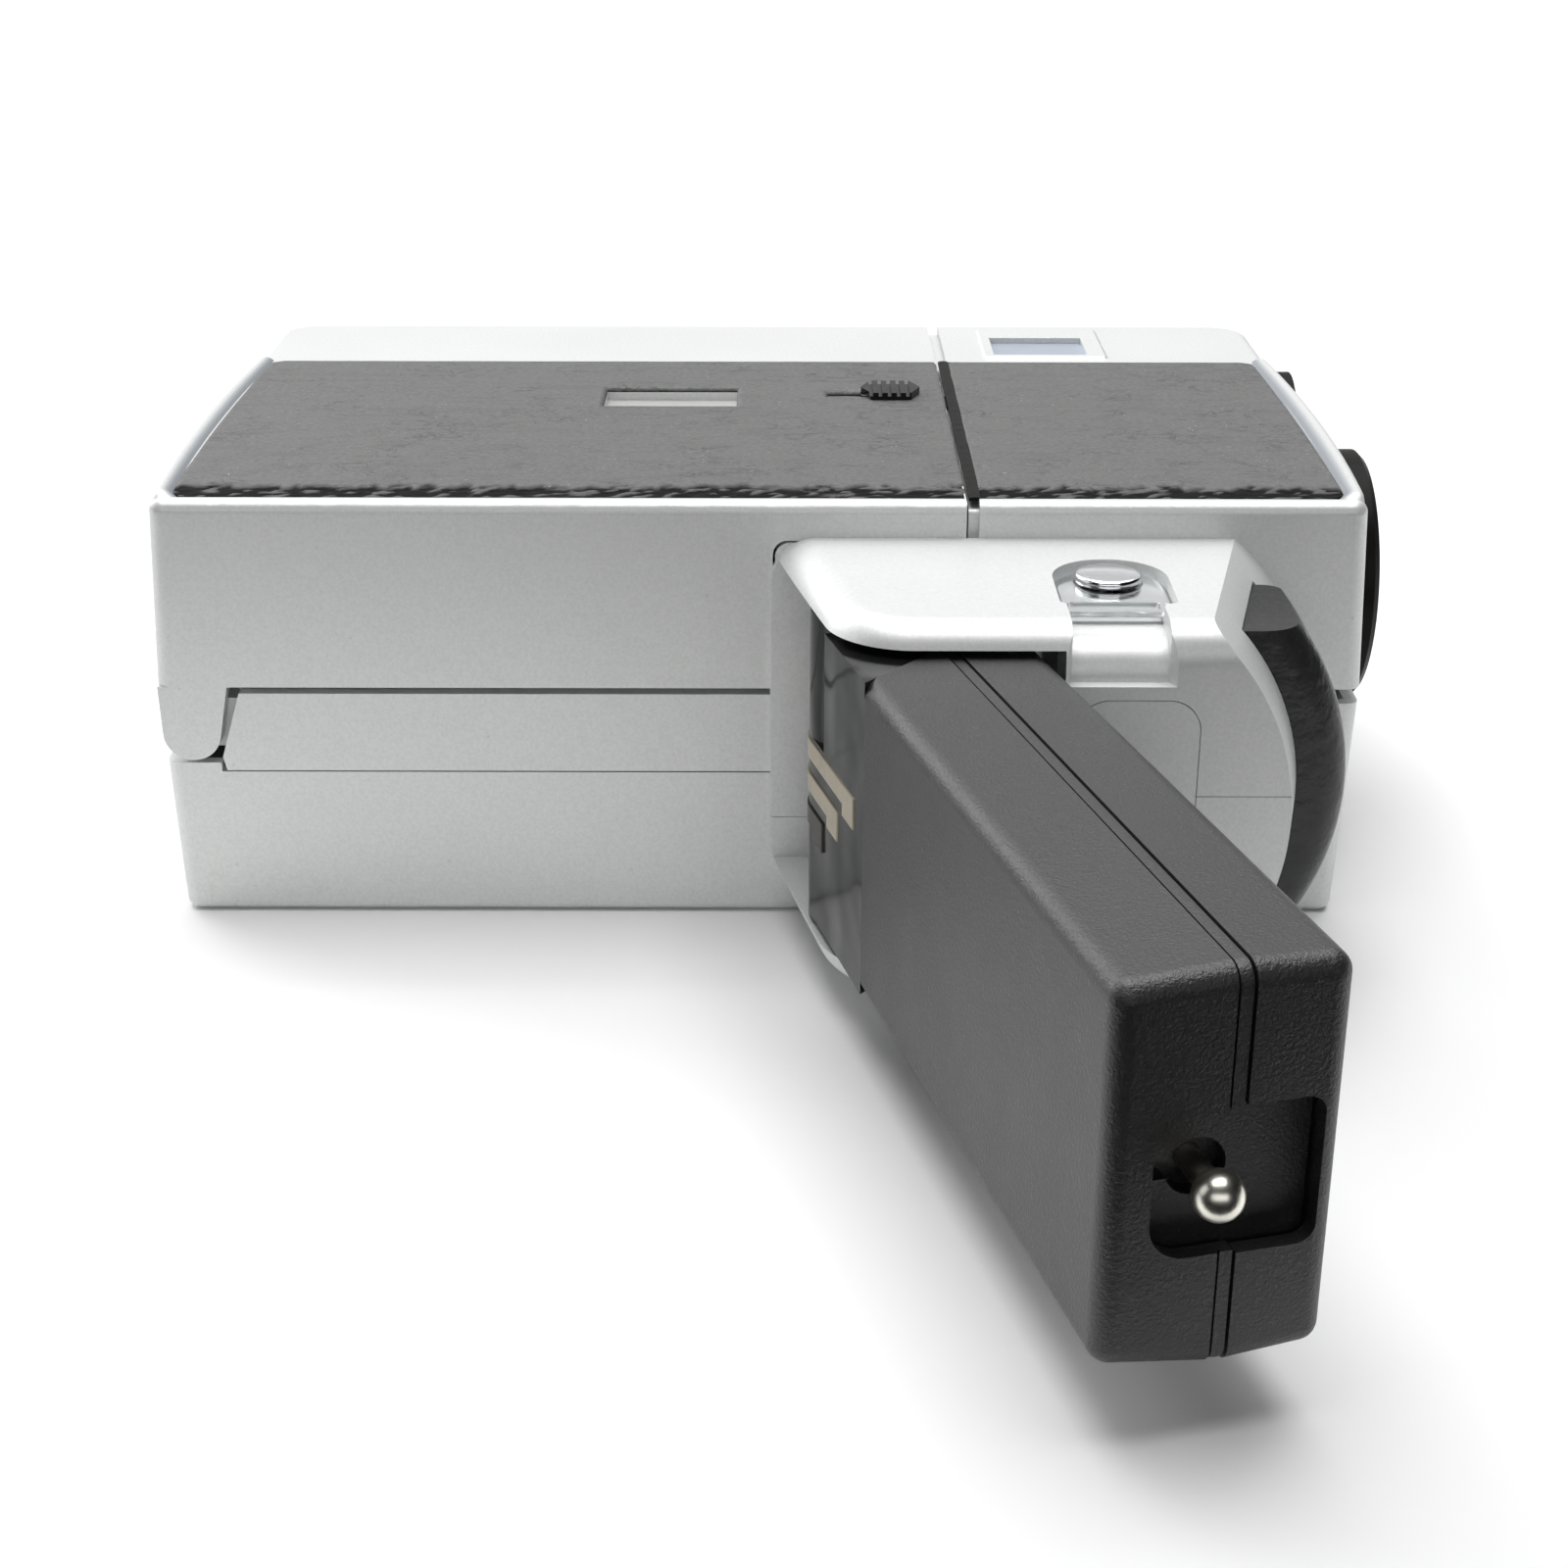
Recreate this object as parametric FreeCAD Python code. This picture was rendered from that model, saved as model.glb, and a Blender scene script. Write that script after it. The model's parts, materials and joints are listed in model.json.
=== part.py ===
import FreeCAD, Part
import math
import os

from FreeCAD import Vector

# Super 8 movie camera lying on its left side, in millimetres.
# X runs to the lens, Y to the camera's top and Z up through its right side.
# The origin is the centre of the left side, on which the camera rests.

# Body
body_length = 160.0
body_height = 102.0
part_plane = 33.5
cover_depth = 25.9
rim_overhang = 1.2
top_corner = 6.0
bottom_corner = 2.0
edge_round = 1.6
panel_edge_round = 1.6
cover_wall = 1.8
tongue_inset = 1.3
tongue_thickness = 1.2
panel_height = 3.8
panel_inset = 0.05
seam = 0.2
swing_gap = 0.3
running_gap = 0.05

# Film door
door_length = 107.3
door_seam = 1.7
door_pivot_inset = 3.2
door_pivot_drop = 6.1
knuckle_radius = 3.85
knuckle_width = 9.35
knuckle_foot = 7.05
knuckle_inset = 0.25
knuckle_drop = 10.6
knuckle_end = 2.5
lug_width = 6.0
lug_radius_door = 3.5
door_pin_radius = 1.2
door_pin_hold = 1.6
window_inset = 50.8
window_length = 19.8
window_bottom = 48.9
window_height = 10.5
window_ledge = 1.2
rail_width = 1.6
window_pane = 0.8
latch_inset = 12.4
latch_length = 8.9
latch_height = 7.4
latch_travel = 5.0
latch_rise = 1.1
latch_ribs = 6
latch_slot_height = 3.0
latch_middle = 55.8
bolt_thickness = 1.2
guide_wall = 0.9
guide_flange = 1.6
spring_rear = 22.0
spring_lead = 8.0
spring_ramp = 12.0
spring_flat = 6.0
spring_rise = 3.0
spring_leaf = 0.5
spring_bottom = 16.9
spring_width = 15.4
spring_gap = 1.2

# Leather
leather_thickness = 0.6
leather_proud = 0.1
leather_bottom = 2.2
leather_top = 76.2
leather_end = 2.0
leather_corner = 3.0

# Badge
badge_inset = 6.0
badge_length = 20.0
badge_gap = 2.2
badge_drop = 4.0
badge_depth = 1.0
badge_rim = 2.2

# Chassis
chassis_wall = 1.5
chassis_inset = 2.8
floor_drop = 10.6
strip_bottom_drop = 12.1
strip_top_drop = 0.9
wall_rise = 1.8
strip_start = 9.95
strip_end_slant = 2.9
strip_chamfer = 1.9
chassis_start = 9.3
frame_step = 6.8
frame_edge_drop = 2.1
rear_edge_drop = 11.0
pad_thickness = 2.5
pad_margin = 2.0
partition = 77.0
gate_front = 95.5
gate_thickness = 0.8
gate_rise = 13.5
gate_width = 28.0
aperture_width = 5.8
aperture_height = 4.2
drive_room_bottom = 16.0
drive_room_top = 34.0
lens_room = 9.0
lens_room_side = 2.0

# Lens
lens_up = 43.5
lens_rise = 1.9
lens_barrel_radius = 15.2
barrel_wall = 2.0
focus_radius = 18.5
focus_protrusion = 8.7
focus_length = 7.0
focus_bevel = 0.8
focus_lip = 0.8
focus_lip_radius = 13.8
filter_radius = 16.2
filter_depth = 2.9
glass_thickness = 3.2
glass_bulge = 1.6
inner_glass_bulge = 1.2
inner_glass_length = 4.0
rear_glass_place = 4.0
middle_glass_place = 26.0
bulkhead_rear = 112.0
bulkhead_thickness = 3.0
flange_radius = 17.0
flange_thickness = 2.0
bulkhead_margin = 3.0

# Meter window at the front and eyepiece at the rear
meter_drop = 17.0
meter_rise = 12.5
meter_radius = 9.5
meter_protrusion = 4.4
meter_step = 1.5
meter_glass_inset = 0.6
meter_glass = 1.4
meter_glass_radius = 6.5
eyepiece_drop = 17.0
eyepiece_floor_gap = 8.6
eyepiece_radius = 8.0
eyepiece_glass_radius = 5.5
eyepiece_protrusion = 1.6
eyepiece_depth = 2.0
eyepiece_collar = 1.2
eyepiece_glass_inset = 0.8
eyepiece_glass_length = 1.8
finder_radius = 6.6
finder_wall = 1.0
finder_inset = 3.5
finder_box_length = 15.0
finder_box_depth = 7.0
finder_box_reach = 16.0

# Grip housing under the body
housing_rear = 81.5
nose_setback = 6.0
housing_drop = 35.5
housing_margin = 4.7
housing_taper = 13.65
housing_nose_radius = 33.0
housing_corner = 11.5
housing_rear_round = 4.8
housing_edge_round = 6.0
housing_wall = 2.0
upper_plate = 2.8
lower_plate = 4.3
clevis_floor = 1.0
clevis_front = 117.0
loft_back = 60.0
housing_seam = 33.3
rear_seam = 15.1
root_margin = 0.7

# Strap lug and lock button
lug_center = 124.3
lug_drop = 16.0
lug_radius = 7.1
lug_front = 25.8
lug_depth = 2.3
lug_plate_thickness = 1.0
lug_slot_length = 11.0
lug_slot_width = 2.4
lug_slot_drop = 22.9
lug_front_corner = 1.0
strap_room = 0.4
lug_pad_margin = 2.2
channel_backing = 1.6
channel_width = 11.8
channel_depth = 1.7
channel_height = 7.2
channel_round = 4.6
channel_flare = 1.2
button_radius = 4.25
button_skirt = 1.0
button_dome = 0.5
button_travel = 1.0
button_stem = 2.2
button_gap = 0.1
button_stem_length = 8.0
button_room = 0.4

# Tripod socket
socket_radius = 2.55
socket_depth = 8.0
socket_floor = 1.5
socket_bush_radius = 5.5
tripod_plate_rear = 118.6
tripod_plate_length = 14.9
tripod_plate_margin = 9.0
tripod_plate_thickness = 0.8
tripod_plate_corner = 4.0

# Trigger
trigger_top_drop = 8.4
trigger_height = 17.6
trigger_end_margin = 3.5
trigger_proud = 0.6
trigger_radius = 34.6
trigger_body = 9.4
trigger_corner = 4.0
trigger_travel = 3.0
trigger_slot_length = 40.0
trigger_gap = 0.4
switch_width = 10.0
switch_length = 8.0
spring_offset = 11.0
spring_radius = 2.4

# Grip
grip_lean = 14.8
hinge_x = 95.0
hinge_drop = 18.5
barrel_radius = 8.33
hinge_pin_radius = 2.5
pin_hold = 1.6
hinge_block_start = 5.6
hinge_block_round = 1.0
cheek_top = 35.0
grip_thickness = 23.9
grip_bottom_gap = 0.9
grip_top_gap = 1.1
crown_rise = 0.7
crown_fall = 2.0
right_rise = 0.4
right_fall = 1.1
shell_start = 22.9
shell_start_right = 5.9
grip_reach = 101.3
grip_round = 2.2
grip_wall = 1.8
grip_seam = 12.2
seam_band = 1.6
seam_groove = 0.3
band_inset = 0.15
groove_inset = 0.6
recess_left = 4.75
recess_width = 16.8
recess_bottom = 21.3
recess_height = 15.5
recess_depth = 2.8
recess_corner = 4.0
stud_across = 10.25
stud_height = 29.5
stud_ball = 2.55
stud_shaft = 1.3
stud_reach = 5.3
stud_mouth = 3.1
end_plate_thickness = 3.0
contact_thickness = 0.2
contact_top = 34.4
contact_pitch = 4.6
contact_end = 19.2
contact_step = 6.8
contact_width = 2.5
contact_tab_length = 4.6
contact_tab_drop = 1.5
cell_radius = 7.15
cell_length = 50.5
cell_inset = 7.0
end_contact_width = 6.0
end_contact_margin = 4.0
end_contact_leaf = 0.4
end_contact_gap = 2.0
cell_nub = 2.6
cell_nub_length = 1.0
tray_base = 1.2

# Film drive
motor_floor_gap = 1.7
motor_panel_gap = 2.3
motor_length = 34.0
motor_shaft_depth = 6.6
gear_module = 0.8
pinion_teeth = 12
shutter_teeth = 48
gear_width = 2.6
gear_backlash = 0.12
shutter_radius = 19.0
shutter_thickness = 0.5
shutter_offset = 12.0
shutter_web = 3.5
shutter_hub = 3.0
shaft_radius = 1.2
bracket_rear = 105.0
bracket_thickness = 1.6
bracket_arm = 24.0
bracket_corner = 2.0
bracket_foot = 4.0
bracket_margin = 1.5
spindle_x = 58.0
spindle_up = 40.0
spindle_radius = 3.6
spindle_height = 5.0
fin_height = 1.2
clutch_radius = 14.0
clutch_thickness = 2.0
clutch_gap = 0.4
bush_wall = 1.5
film_thickness = 24.0
screw_radius = 1.5
screw_inset = 6.0

body_width = part_plane + cover_depth
rear = -body_length / 2
front = body_length / 2
bottom = -body_height / 2
top = body_height / 2
door_front = rear + door_length
cover_rear = door_front + door_seam
window_x = door_front - window_inset
latch_x = door_front - latch_inset
badge_x = cover_rear + badge_inset
badge_bottom = bottom + leather_top + badge_gap
badge_top = top - badge_drop
pivot_x = rear + door_pivot_inset
pivot_z = part_plane - door_pivot_drop
knuckle_bottom = part_plane - knuckle_drop
floor_height = part_plane - floor_drop
strip_bottom = part_plane - strip_bottom_drop
strip_top = part_plane - strip_top_drop
wall_top = part_plane + wall_rise
frame_edge = part_plane - frame_edge_drop
rear_edge = part_plane - rear_edge_drop
gate_height = part_plane + gate_rise
lens_height = part_plane + lens_rise
meter_height = part_plane + meter_rise
meter_y = top - meter_drop
eyepiece_y = top - eyepiece_drop
lens_y = bottom + lens_up
floor_bottom = floor_height - chassis_wall
eyepiece_height = floor_bottom - eyepiece_floor_gap
motor_low = panel_height - cover_wall + motor_panel_gap
motor_high = floor_bottom - motor_floor_gap
motor_radius = (motor_high - motor_low) / 2
motor_height = (motor_high + motor_low) / 2
housing_bottom = housing_margin
housing_top = body_width - housing_margin
channel_bottom = housing_top - channel_height
lower_top = housing_bottom + lower_plate
upper_bottom = housing_top - upper_plate
housing_middle = (housing_bottom + housing_top) / 2
focus_front = body_length + focus_protrusion
housing_nose = body_length - nose_setback
trigger_nose = housing_nose + trigger_proud
void_front = rear + clevis_front
grip_bottom = lower_top + grip_bottom_gap
grip_top = upper_bottom - grip_top_gap
hinge_y = bottom - hinge_drop
hinge_at_x = rear + hinge_x
left_face = -barrel_radius
right_face = grip_thickness - barrel_radius
reach = 400.0


def block(x0, x1, y0, y1, z0, z1):
    return Part.makeBox(x1 - x0, y1 - y0, z1 - z0, Vector(x0, y0, z0))


def rod(radius, start, end):
    axis = end - start
    return Part.makeCylinder(radius, axis.Length, start, axis)


def tube(outer, inner, start, end):
    return rod(outer, start, end).cut(rod(inner, start, end))


def rounded_wire(corners, z):
    """Closed wire through (x, y, radius) corners, each turned into an arc of its radius."""
    starts, middles, ends = [], [], []
    count = len(corners)
    for i in range(count):
        x, y, radius = corners[i]
        point = Vector(x, y, z)
        before = Vector(corners[i - 1][0], corners[i - 1][1], z) - point
        after = Vector(corners[(i + 1) % count][0], corners[(i + 1) % count][1], z) - point
        before.normalize()
        after.normalize()
        angle = before.getAngle(after)
        setback = radius / math.tan(angle / 2)
        inward = before + after
        inward.normalize()
        starts.append(point + before * setback)
        ends.append(point + after * setback)
        middles.append(point + inward * (radius / math.sin(angle / 2) - radius))
    edges = []
    for i in range(count):
        if corners[i][2] > 0:
            edges.append(Part.Arc(starts[i], middles[i], ends[i]).toShape())
        edges.append(Part.makeLine(ends[i], starts[(i + 1) % count]))
    return Part.Wire(edges)


def plate(corners, z0, z1):
    return Part.Face(rounded_wire(corners, z0)).extrude(Vector(0, 0, z1 - z0))


def plate_xz(corners, y0, y1):
    """Plate whose corners are (x, z, radius), between two heights along Y."""
    shape = plate(corners, -y1, -y0)
    shape.rotate(Vector(0, 0, 0), Vector(1, 0, 0), 90)
    return shape


def plate_yz(corners, x0, x1):
    """Plate whose corners are (y, z, radius), between two places along X."""
    shape = plate(corners, x0, x1)
    shape.rotate(Vector(0, 0, 0), Vector(1, 1, 1), 120)
    return shape


def rectangle(x0, x1, y0, y1, radius):
    return [(x0, y0, radius), (x1, y0, radius), (x1, y1, radius), (x0, y1, radius)]


def level_edges(shape, z):
    return [e for e in shape.Edges if all(abs(v.Z - z) < 1e-4 for v in e.Vertexes)]


def fuse(shapes):
    return shapes[0].multiFuse(shapes[1:]).removeSplitter()


def below(drop):
    """Y of a point this far under the body's bottom face."""
    return bottom - drop


# Covers

def half_length(z):
    if z < part_plane:
        return body_length / 2 + rim_overhang * z / part_plane
    share = (body_width - z) / (body_width - part_plane)
    return body_length / 2 + rim_overhang * share


def body_outline(z, inset, z_outline):
    x = half_length(z_outline) - inset
    low = bottom + inset
    high = top - inset
    small = max(bottom_corner - inset, 0.4)
    large = max(top_corner - inset, 0.4)
    return rounded_wire([(-x, low, small), (x, low, small), (x, high, large), (-x, high, large)], z)


def body_form(z0, z1, inset):
    """Drafted block between two heights, set in from the covers' outer face."""
    wires = [body_outline(z0, inset, z0), body_outline(z1, inset, z1)]
    return Part.makeLoft(wires, True, True)


def right_shell():
    outer = body_form(part_plane, body_width, 0)
    outer = outer.makeFillet(edge_round, level_edges(outer, body_width))
    return outer.cut(body_form(part_plane, body_width - cover_wall, cover_wall))


def leather_outline(x0, x1, corner_rear, corner_front):
    low = bottom + leather_bottom
    high = bottom + leather_top
    return [(x0, low, corner_rear / 2), (x1, low, corner_front / 2),
            (x1, high, corner_front), (x0, high, corner_rear)]


def leather(corners):
    return plate(corners, body_width - leather_thickness, body_width + leather_proud)


def rear_leather_outline():
    return leather_outline(rear + leather_end, door_front - seam, leather_corner, 0)


def front_leather_outline():
    return leather_outline(cover_rear + seam, front - leather_end, 0, leather_corner)


def root_outline(gap):
    """Outline, in X and Z, of the housing's foot and of the hole for it in the covers."""
    return rectangle(rear + housing_rear + root_margin - gap, front - top_corner + gap,
                     housing_bottom + root_margin - gap, housing_top - root_margin + gap, 2.0)


def root_hole(gap):
    return plate_xz(root_outline(gap), bottom - 1, bottom + cover_wall + 0.01)


def window_opening(z):
    y0 = bottom + window_bottom
    return block(window_x, window_x + window_length, y0, y0 + window_height, z, reach)


def latch_slot(z):
    y = bottom + latch_middle
    return block(latch_x - latch_travel, latch_x + latch_length / 2 + 1,
                 y - latch_slot_height / 2, y + latch_slot_height / 2, z, reach)


def film_door():
    body = right_shell().common(block(-reach, door_front, -reach, reach, 0, reach))
    y0 = bottom + window_bottom
    window = window_opening(part_plane)
    y = bottom + latch_middle
    slot = latch_slot(part_plane)
    nose_way = block(door_front - cover_wall - 1, door_front + 1,
                     y - latch_height / 2 - running_gap, y + latch_height / 2 + running_gap,
                     latch_bolt_bottom() - 1, latch_bolt_bottom() + bolt_thickness + seam)
    recess = plate(rear_leather_outline(), body_width - leather_thickness, reach)
    front_wall = block(door_front - cover_wall, door_front, bottom + cover_wall, top - cover_wall,
                       wall_low(), body_width - cover_wall)
    rails = [block(window_rail(side)[0], window_rail(side)[1], y0 - rail_width,
                   y0 + window_height + rail_width, body_width - cover_wall - window_pane - seam,
                   body_width - cover_wall)
             for side in (-1, 1)]
    body = fuse([body, front_wall] + rails)
    return body.cut(window).cut(slot).cut(nose_way).cut(recess).cut(root_hole(swing_gap))


def wall_low():
    """Lower edge of the two walls at the seam, above the pad that carries the housing."""
    return housing_top - root_margin - pad_margin + 2 * swing_gap


def seam_tongue():
    """Step of the front cover that closes the seam behind the film door's edge."""
    sleeve = body_form(part_plane, body_width - tongue_inset, tongue_inset)
    corner = (bottom_corner - tongue_inset) * 0.8
    sleeve = sleeve.makeFillet(corner, level_edges(sleeve, body_width - tongue_inset))
    sleeve = sleeve.cut(body_form(part_plane, body_width - tongue_inset - tongue_thickness,
                                  tongue_inset + tongue_thickness))
    reach_back = block(door_front + swing_gap, cover_rear + cover_wall, -reach, reach, 0, reach)
    sleeve = sleeve.common(reach_back)
    return sleeve.cut(block(-reach, reach, -reach, 0, 0, wall_low()))


def window_rail(side):
    x = window_x + (window_length if side > 0 else 0)
    return sorted([x + side * window_ledge, x + side * (window_ledge + rail_width)])


def door_window():
    y0 = bottom + window_bottom
    high = body_width - cover_wall
    return block(window_x - window_ledge, window_x + window_length + window_ledge, y0 - window_ledge,
                 y0 + window_height + window_ledge, high - window_pane, high)


def latch_bolt_bottom():
    return body_width - cover_wall - running_gap - bolt_thickness


def latch_button():
    """Ribbed thumb slide on the door's side, with its neck in the slot."""
    x0 = latch_x
    y = bottom + latch_middle
    half = latch_height / 2
    base = body_width + leather_proud + running_gap
    taper = latch_length / 6
    outline = [(x0, y, 0.3), (x0 + taper, y - half, 0.6), (x0 + latch_length - taper, y - half, 0.6),
               (x0 + latch_length, y, 0.3), (x0 + latch_length - taper, y + half, 0.6),
               (x0 + taper, y + half, 0.6)]
    cap = plate(outline, base, base + latch_rise)
    pitch = latch_length / (latch_ribs + 0.5)
    grooves = [block(x0 + pitch * (i + 0.9), x0 + pitch * (i + 1.3), y - half, y + half,
                     base + latch_rise / 2, base + latch_rise) for i in range(latch_ribs - 1)]
    neck = block(x0 + running_gap, x0 + latch_length / 2, y - latch_slot_height / 2 + running_gap,
                 y + latch_slot_height / 2 - running_gap, latch_bolt_bottom() + bolt_thickness,
                 base)
    return fuse([cap.cut(Part.makeCompound(grooves)), neck])


def latch_bolt():
    """Flat bolt under the door's side; its nose passes the door's front wall."""
    y = bottom + latch_middle
    low = latch_bolt_bottom()
    return block(latch_x, door_front + door_seam - swing_gap, y - latch_height / 2,
                 y + latch_height / 2, low, low + bolt_thickness)


def latch_guide():
    """Folded keeper that carries the bolt under the door's side."""
    y = bottom + latch_middle
    low = latch_bolt_bottom()
    x0 = latch_x - latch_travel - 1
    x1 = latch_x + latch_length - 1
    half = latch_height / 2 + guide_flange
    outer = block(x0, x1, y - half, y + half, low - guide_wall, body_width - cover_wall)
    inner = block(x0 - 1, x1 + 1, y - latch_height / 2 - running_gap, y + latch_height / 2 + running_gap,
                  low - running_gap, body_width - cover_wall)
    return outer.cut(inner)


def film_spring():
    """Bent leaf on the door that presses the film cartridge to the chassis."""
    y0 = bottom + spring_bottom
    high = body_width - cover_wall
    low = floor_height + film_thickness + spring_gap
    x0 = rear + spring_rear
    x1 = x0 + spring_lead
    x2 = x1 + spring_ramp
    x3 = x2 + spring_flat
    points = [(x0, high), (x1, high), (x2, low), (x3, low), (x3 + spring_ramp, high - spring_rise)]
    upper = [(x, z, 0) for x, z in points]
    lower = [(x - spring_leaf / 2, z - spring_leaf, 0) for x, z in reversed(points)]
    return plate_xz(upper + lower, y0, y0 + spring_width)


def hinge_profile():
    """Door knuckle in X and Z: round about the pin, widening to the door's rear wall."""
    left = rear - rim_overhang + knuckle_inset
    foot = left + knuckle_inset
    return [(left, part_plane, 0), (foot, knuckle_bottom, knuckle_radius),
            (foot + knuckle_foot, knuckle_bottom, knuckle_radius), (left + knuckle_width, part_plane, 0)]


def lug_places():
    """Y ranges of the two chassis lugs inside the door's hinge bar."""
    return [(bottom + knuckle_end + swing_gap, bottom + knuckle_end + swing_gap + lug_width),
            (top - knuckle_end - swing_gap - lug_width, top - knuckle_end - swing_gap)]


def pin_ends():
    ends = []
    for y0, y1 in lug_places():
        hold = knuckle_end - door_pin_hold / 2 - swing_gap
        ends.append((y0 - swing_gap - hold, y1 + swing_gap + hold))
    return ends


def door_hinge_bar():
    bar = plate_xz(hinge_profile(), bottom, top)
    for y0, y1 in lug_places():
        bar = bar.cut(block(-reach, 0, y0 - swing_gap, y1 + swing_gap, 0, part_plane))
    for y0, y1 in pin_ends():
        bore = rod(door_pin_radius + running_gap, Vector(pivot_x, y0 - 0.2, pivot_z),
                   Vector(pivot_x, y1 + 0.2, pivot_z))
        bar = bar.cut(bore)
    return bar


def door_pins():
    pins = [rod(door_pin_radius, Vector(pivot_x, y0, pivot_z), Vector(pivot_x, y1, pivot_z))
            for y0, y1 in pin_ends()]
    return Part.makeCompound(pins)


def front_cover():
    body = right_shell().common(block(cover_rear, reach, -reach, reach, 0, reach))
    badge = plate(badge_outline(0), body_width - badge_depth, reach)
    recess = plate(front_leather_outline(), body_width - leather_thickness, reach)
    lens_hole = rod(lens_barrel_radius + swing_gap, Vector(0, lens_y, lens_height),
                    Vector(reach, lens_y, lens_height))
    meter_hole = rod(meter_radius - meter_step, meter_point(0), meter_point(reach))
    lip = block(cover_rear, cover_rear + cover_wall, bottom + cover_wall, top - cover_wall,
                wall_low(), body_width - cover_wall)
    y = bottom + latch_middle
    striker = block(door_front, cover_rear, y - latch_height / 2 - swing_gap,
                    y + latch_height / 2 + swing_gap, latch_bolt_bottom() - swing_gap, reach)
    body = fuse([body, lip, seam_tongue()])
    for tool in (badge, recess, lens_hole, meter_hole, striker, root_hole(0)):
        body = body.cut(tool)
    return body


def badge_outline(inset):
    corner = 0.6 if inset else 1.0
    return rectangle(badge_x + inset, badge_x + badge_length - inset, badge_bottom + inset,
                     badge_top - inset, corner)


def badge_frame():
    base = body_width - badge_depth
    outer = plate(badge_outline(0), base, body_width + leather_proud)
    return outer.cut(plate(badge_outline(badge_rim), base, reach))


def badge_field():
    base = body_width - badge_depth
    return plate(badge_outline(badge_rim), base, base + badge_depth / 2)


def left_frame():
    """Wall of the left half, between the side panel and the joint with the right covers."""
    ring = body_form(panel_height, frame_edge, 0).cut(body_form(panel_height, frame_edge, cover_wall))
    strip_front = rear + housing_rear
    rear_cut = block(-reach, rear + chassis_start, -reach, reach, rear_edge, reach)
    bottom_cut = block(-reach, strip_front, -reach, 0, strip_bottom - seam, reach)
    top_cut = block(-reach, door_front, 0, reach, strip_bottom - seam, reach)
    keep = block(-reach, rear + frame_step, -reach, reach, 0, rear_edge)
    kept = ring.common(keep)
    ring = ring.cut(bottom_cut).cut(top_cut).cut(rear_cut)
    ring = fuse([ring, kept])
    lens_hole = rod(lens_barrel_radius + swing_gap, Vector(0, lens_y, lens_height),
                    Vector(reach, lens_y, lens_height))
    return ring.cut(lens_hole).cut(eye_hole()).cut(root_hole(0))


def eye_hole():
    return rod(eyepiece_radius, eye_point(0), eye_point(-reach))


def left_panel():
    """Side panel the camera rests on, recessed for its leather."""
    outer = body_form(0, panel_height, panel_inset)
    outer = outer.makeFillet(panel_edge_round, level_edges(outer, 0))
    inner = body_form(panel_height - cover_wall, panel_height, cover_wall)
    body = outer.cut(inner).cut(plate(left_leather_outline(), -1, leather_thickness)).cut(eye_hole())
    return body.cut(Part.makeCompound([panel_screw_at(x, y, seam / 2) for x, y in panel_screw_places()]))


def left_leather_outline():
    inset = panel_edge_round + leather_end
    return rectangle(rear + inset, front - inset, bottom + inset, top - inset, leather_corner)


def left_leather():
    return plate(left_leather_outline(), 0, leather_thickness)


def panel_screw_places():
    inset = panel_edge_round + leather_end + screw_inset
    return [(x, y) for x in (rear + inset, front - inset) for y in (bottom + inset, top - inset)]


def panel_screw_at(x, y, grow):
    low = leather_thickness
    return rod(screw_radius + grow, Vector(x, y, low), Vector(x, y, panel_height))


def panel_screws():
    screws = [panel_screw_at(x, y, 0) for x, y in panel_screw_places()]
    return Part.makeCompound(screws)


# Chassis

def chassis_box(inset, z0, z1):
    x1 = front + rim_overhang / 2 - inset
    wide = rectangle(rear + chassis_start + inset - chassis_inset, x1, bottom + inset, top - inset, 1.0)
    return plate(wide, z0, z1)


def chassis_strip(side, x1):
    """Outer strip of the chassis, flush with the covers, with its slanted rear end."""
    face = bottom if side < 0 else top
    inner = face - side * (chassis_inset + 0.5)
    x_top = rear + strip_start
    x_low = x_top - strip_end_slant
    corners = [(x_top, strip_top, 0), (x_low, strip_bottom + strip_chamfer, 0),
               (x_low + strip_chamfer / 4, strip_bottom, 0), (x1, strip_bottom, 0), (x1, strip_top, 0)]
    return plate_xz(corners, min(face, inner), max(face, inner))


def hinge_lugs():
    lugs = []
    for y0, y1 in lug_places():
        eye = rod(lug_radius_door, Vector(pivot_x, y0, pivot_z), Vector(pivot_x, y1, pivot_z))
        web = block(pivot_x, rear + chassis_start + 1, y0, y1, pivot_z - lug_radius_door,
                    pivot_z + lug_radius_door)
        lugs.append(fuse([eye, web]))
    return lugs


def gate_wall():
    x0 = rear + gate_front
    return block(x0, x0 + chassis_wall, bottom + chassis_inset, bottom + partition, floor_bottom,
                 gate_height + 2)


def bulkhead():
    x0 = rear + bulkhead_rear
    half = flange_radius + bulkhead_margin
    return block(x0, x0 + bulkhead_thickness, lens_y - half, lens_y + half, floor_bottom,
                 lens_height + flange_radius + bulkhead_margin / 3)


def housing_pad():
    margin = root_margin + pad_margin
    outline = rectangle(rear + housing_rear + margin, front - top_corner - pad_margin,
                        housing_bottom + margin, housing_top - margin, 1.0)
    return plate_xz(outline, bottom + cover_wall, bottom + cover_wall + pad_thickness)


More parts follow.
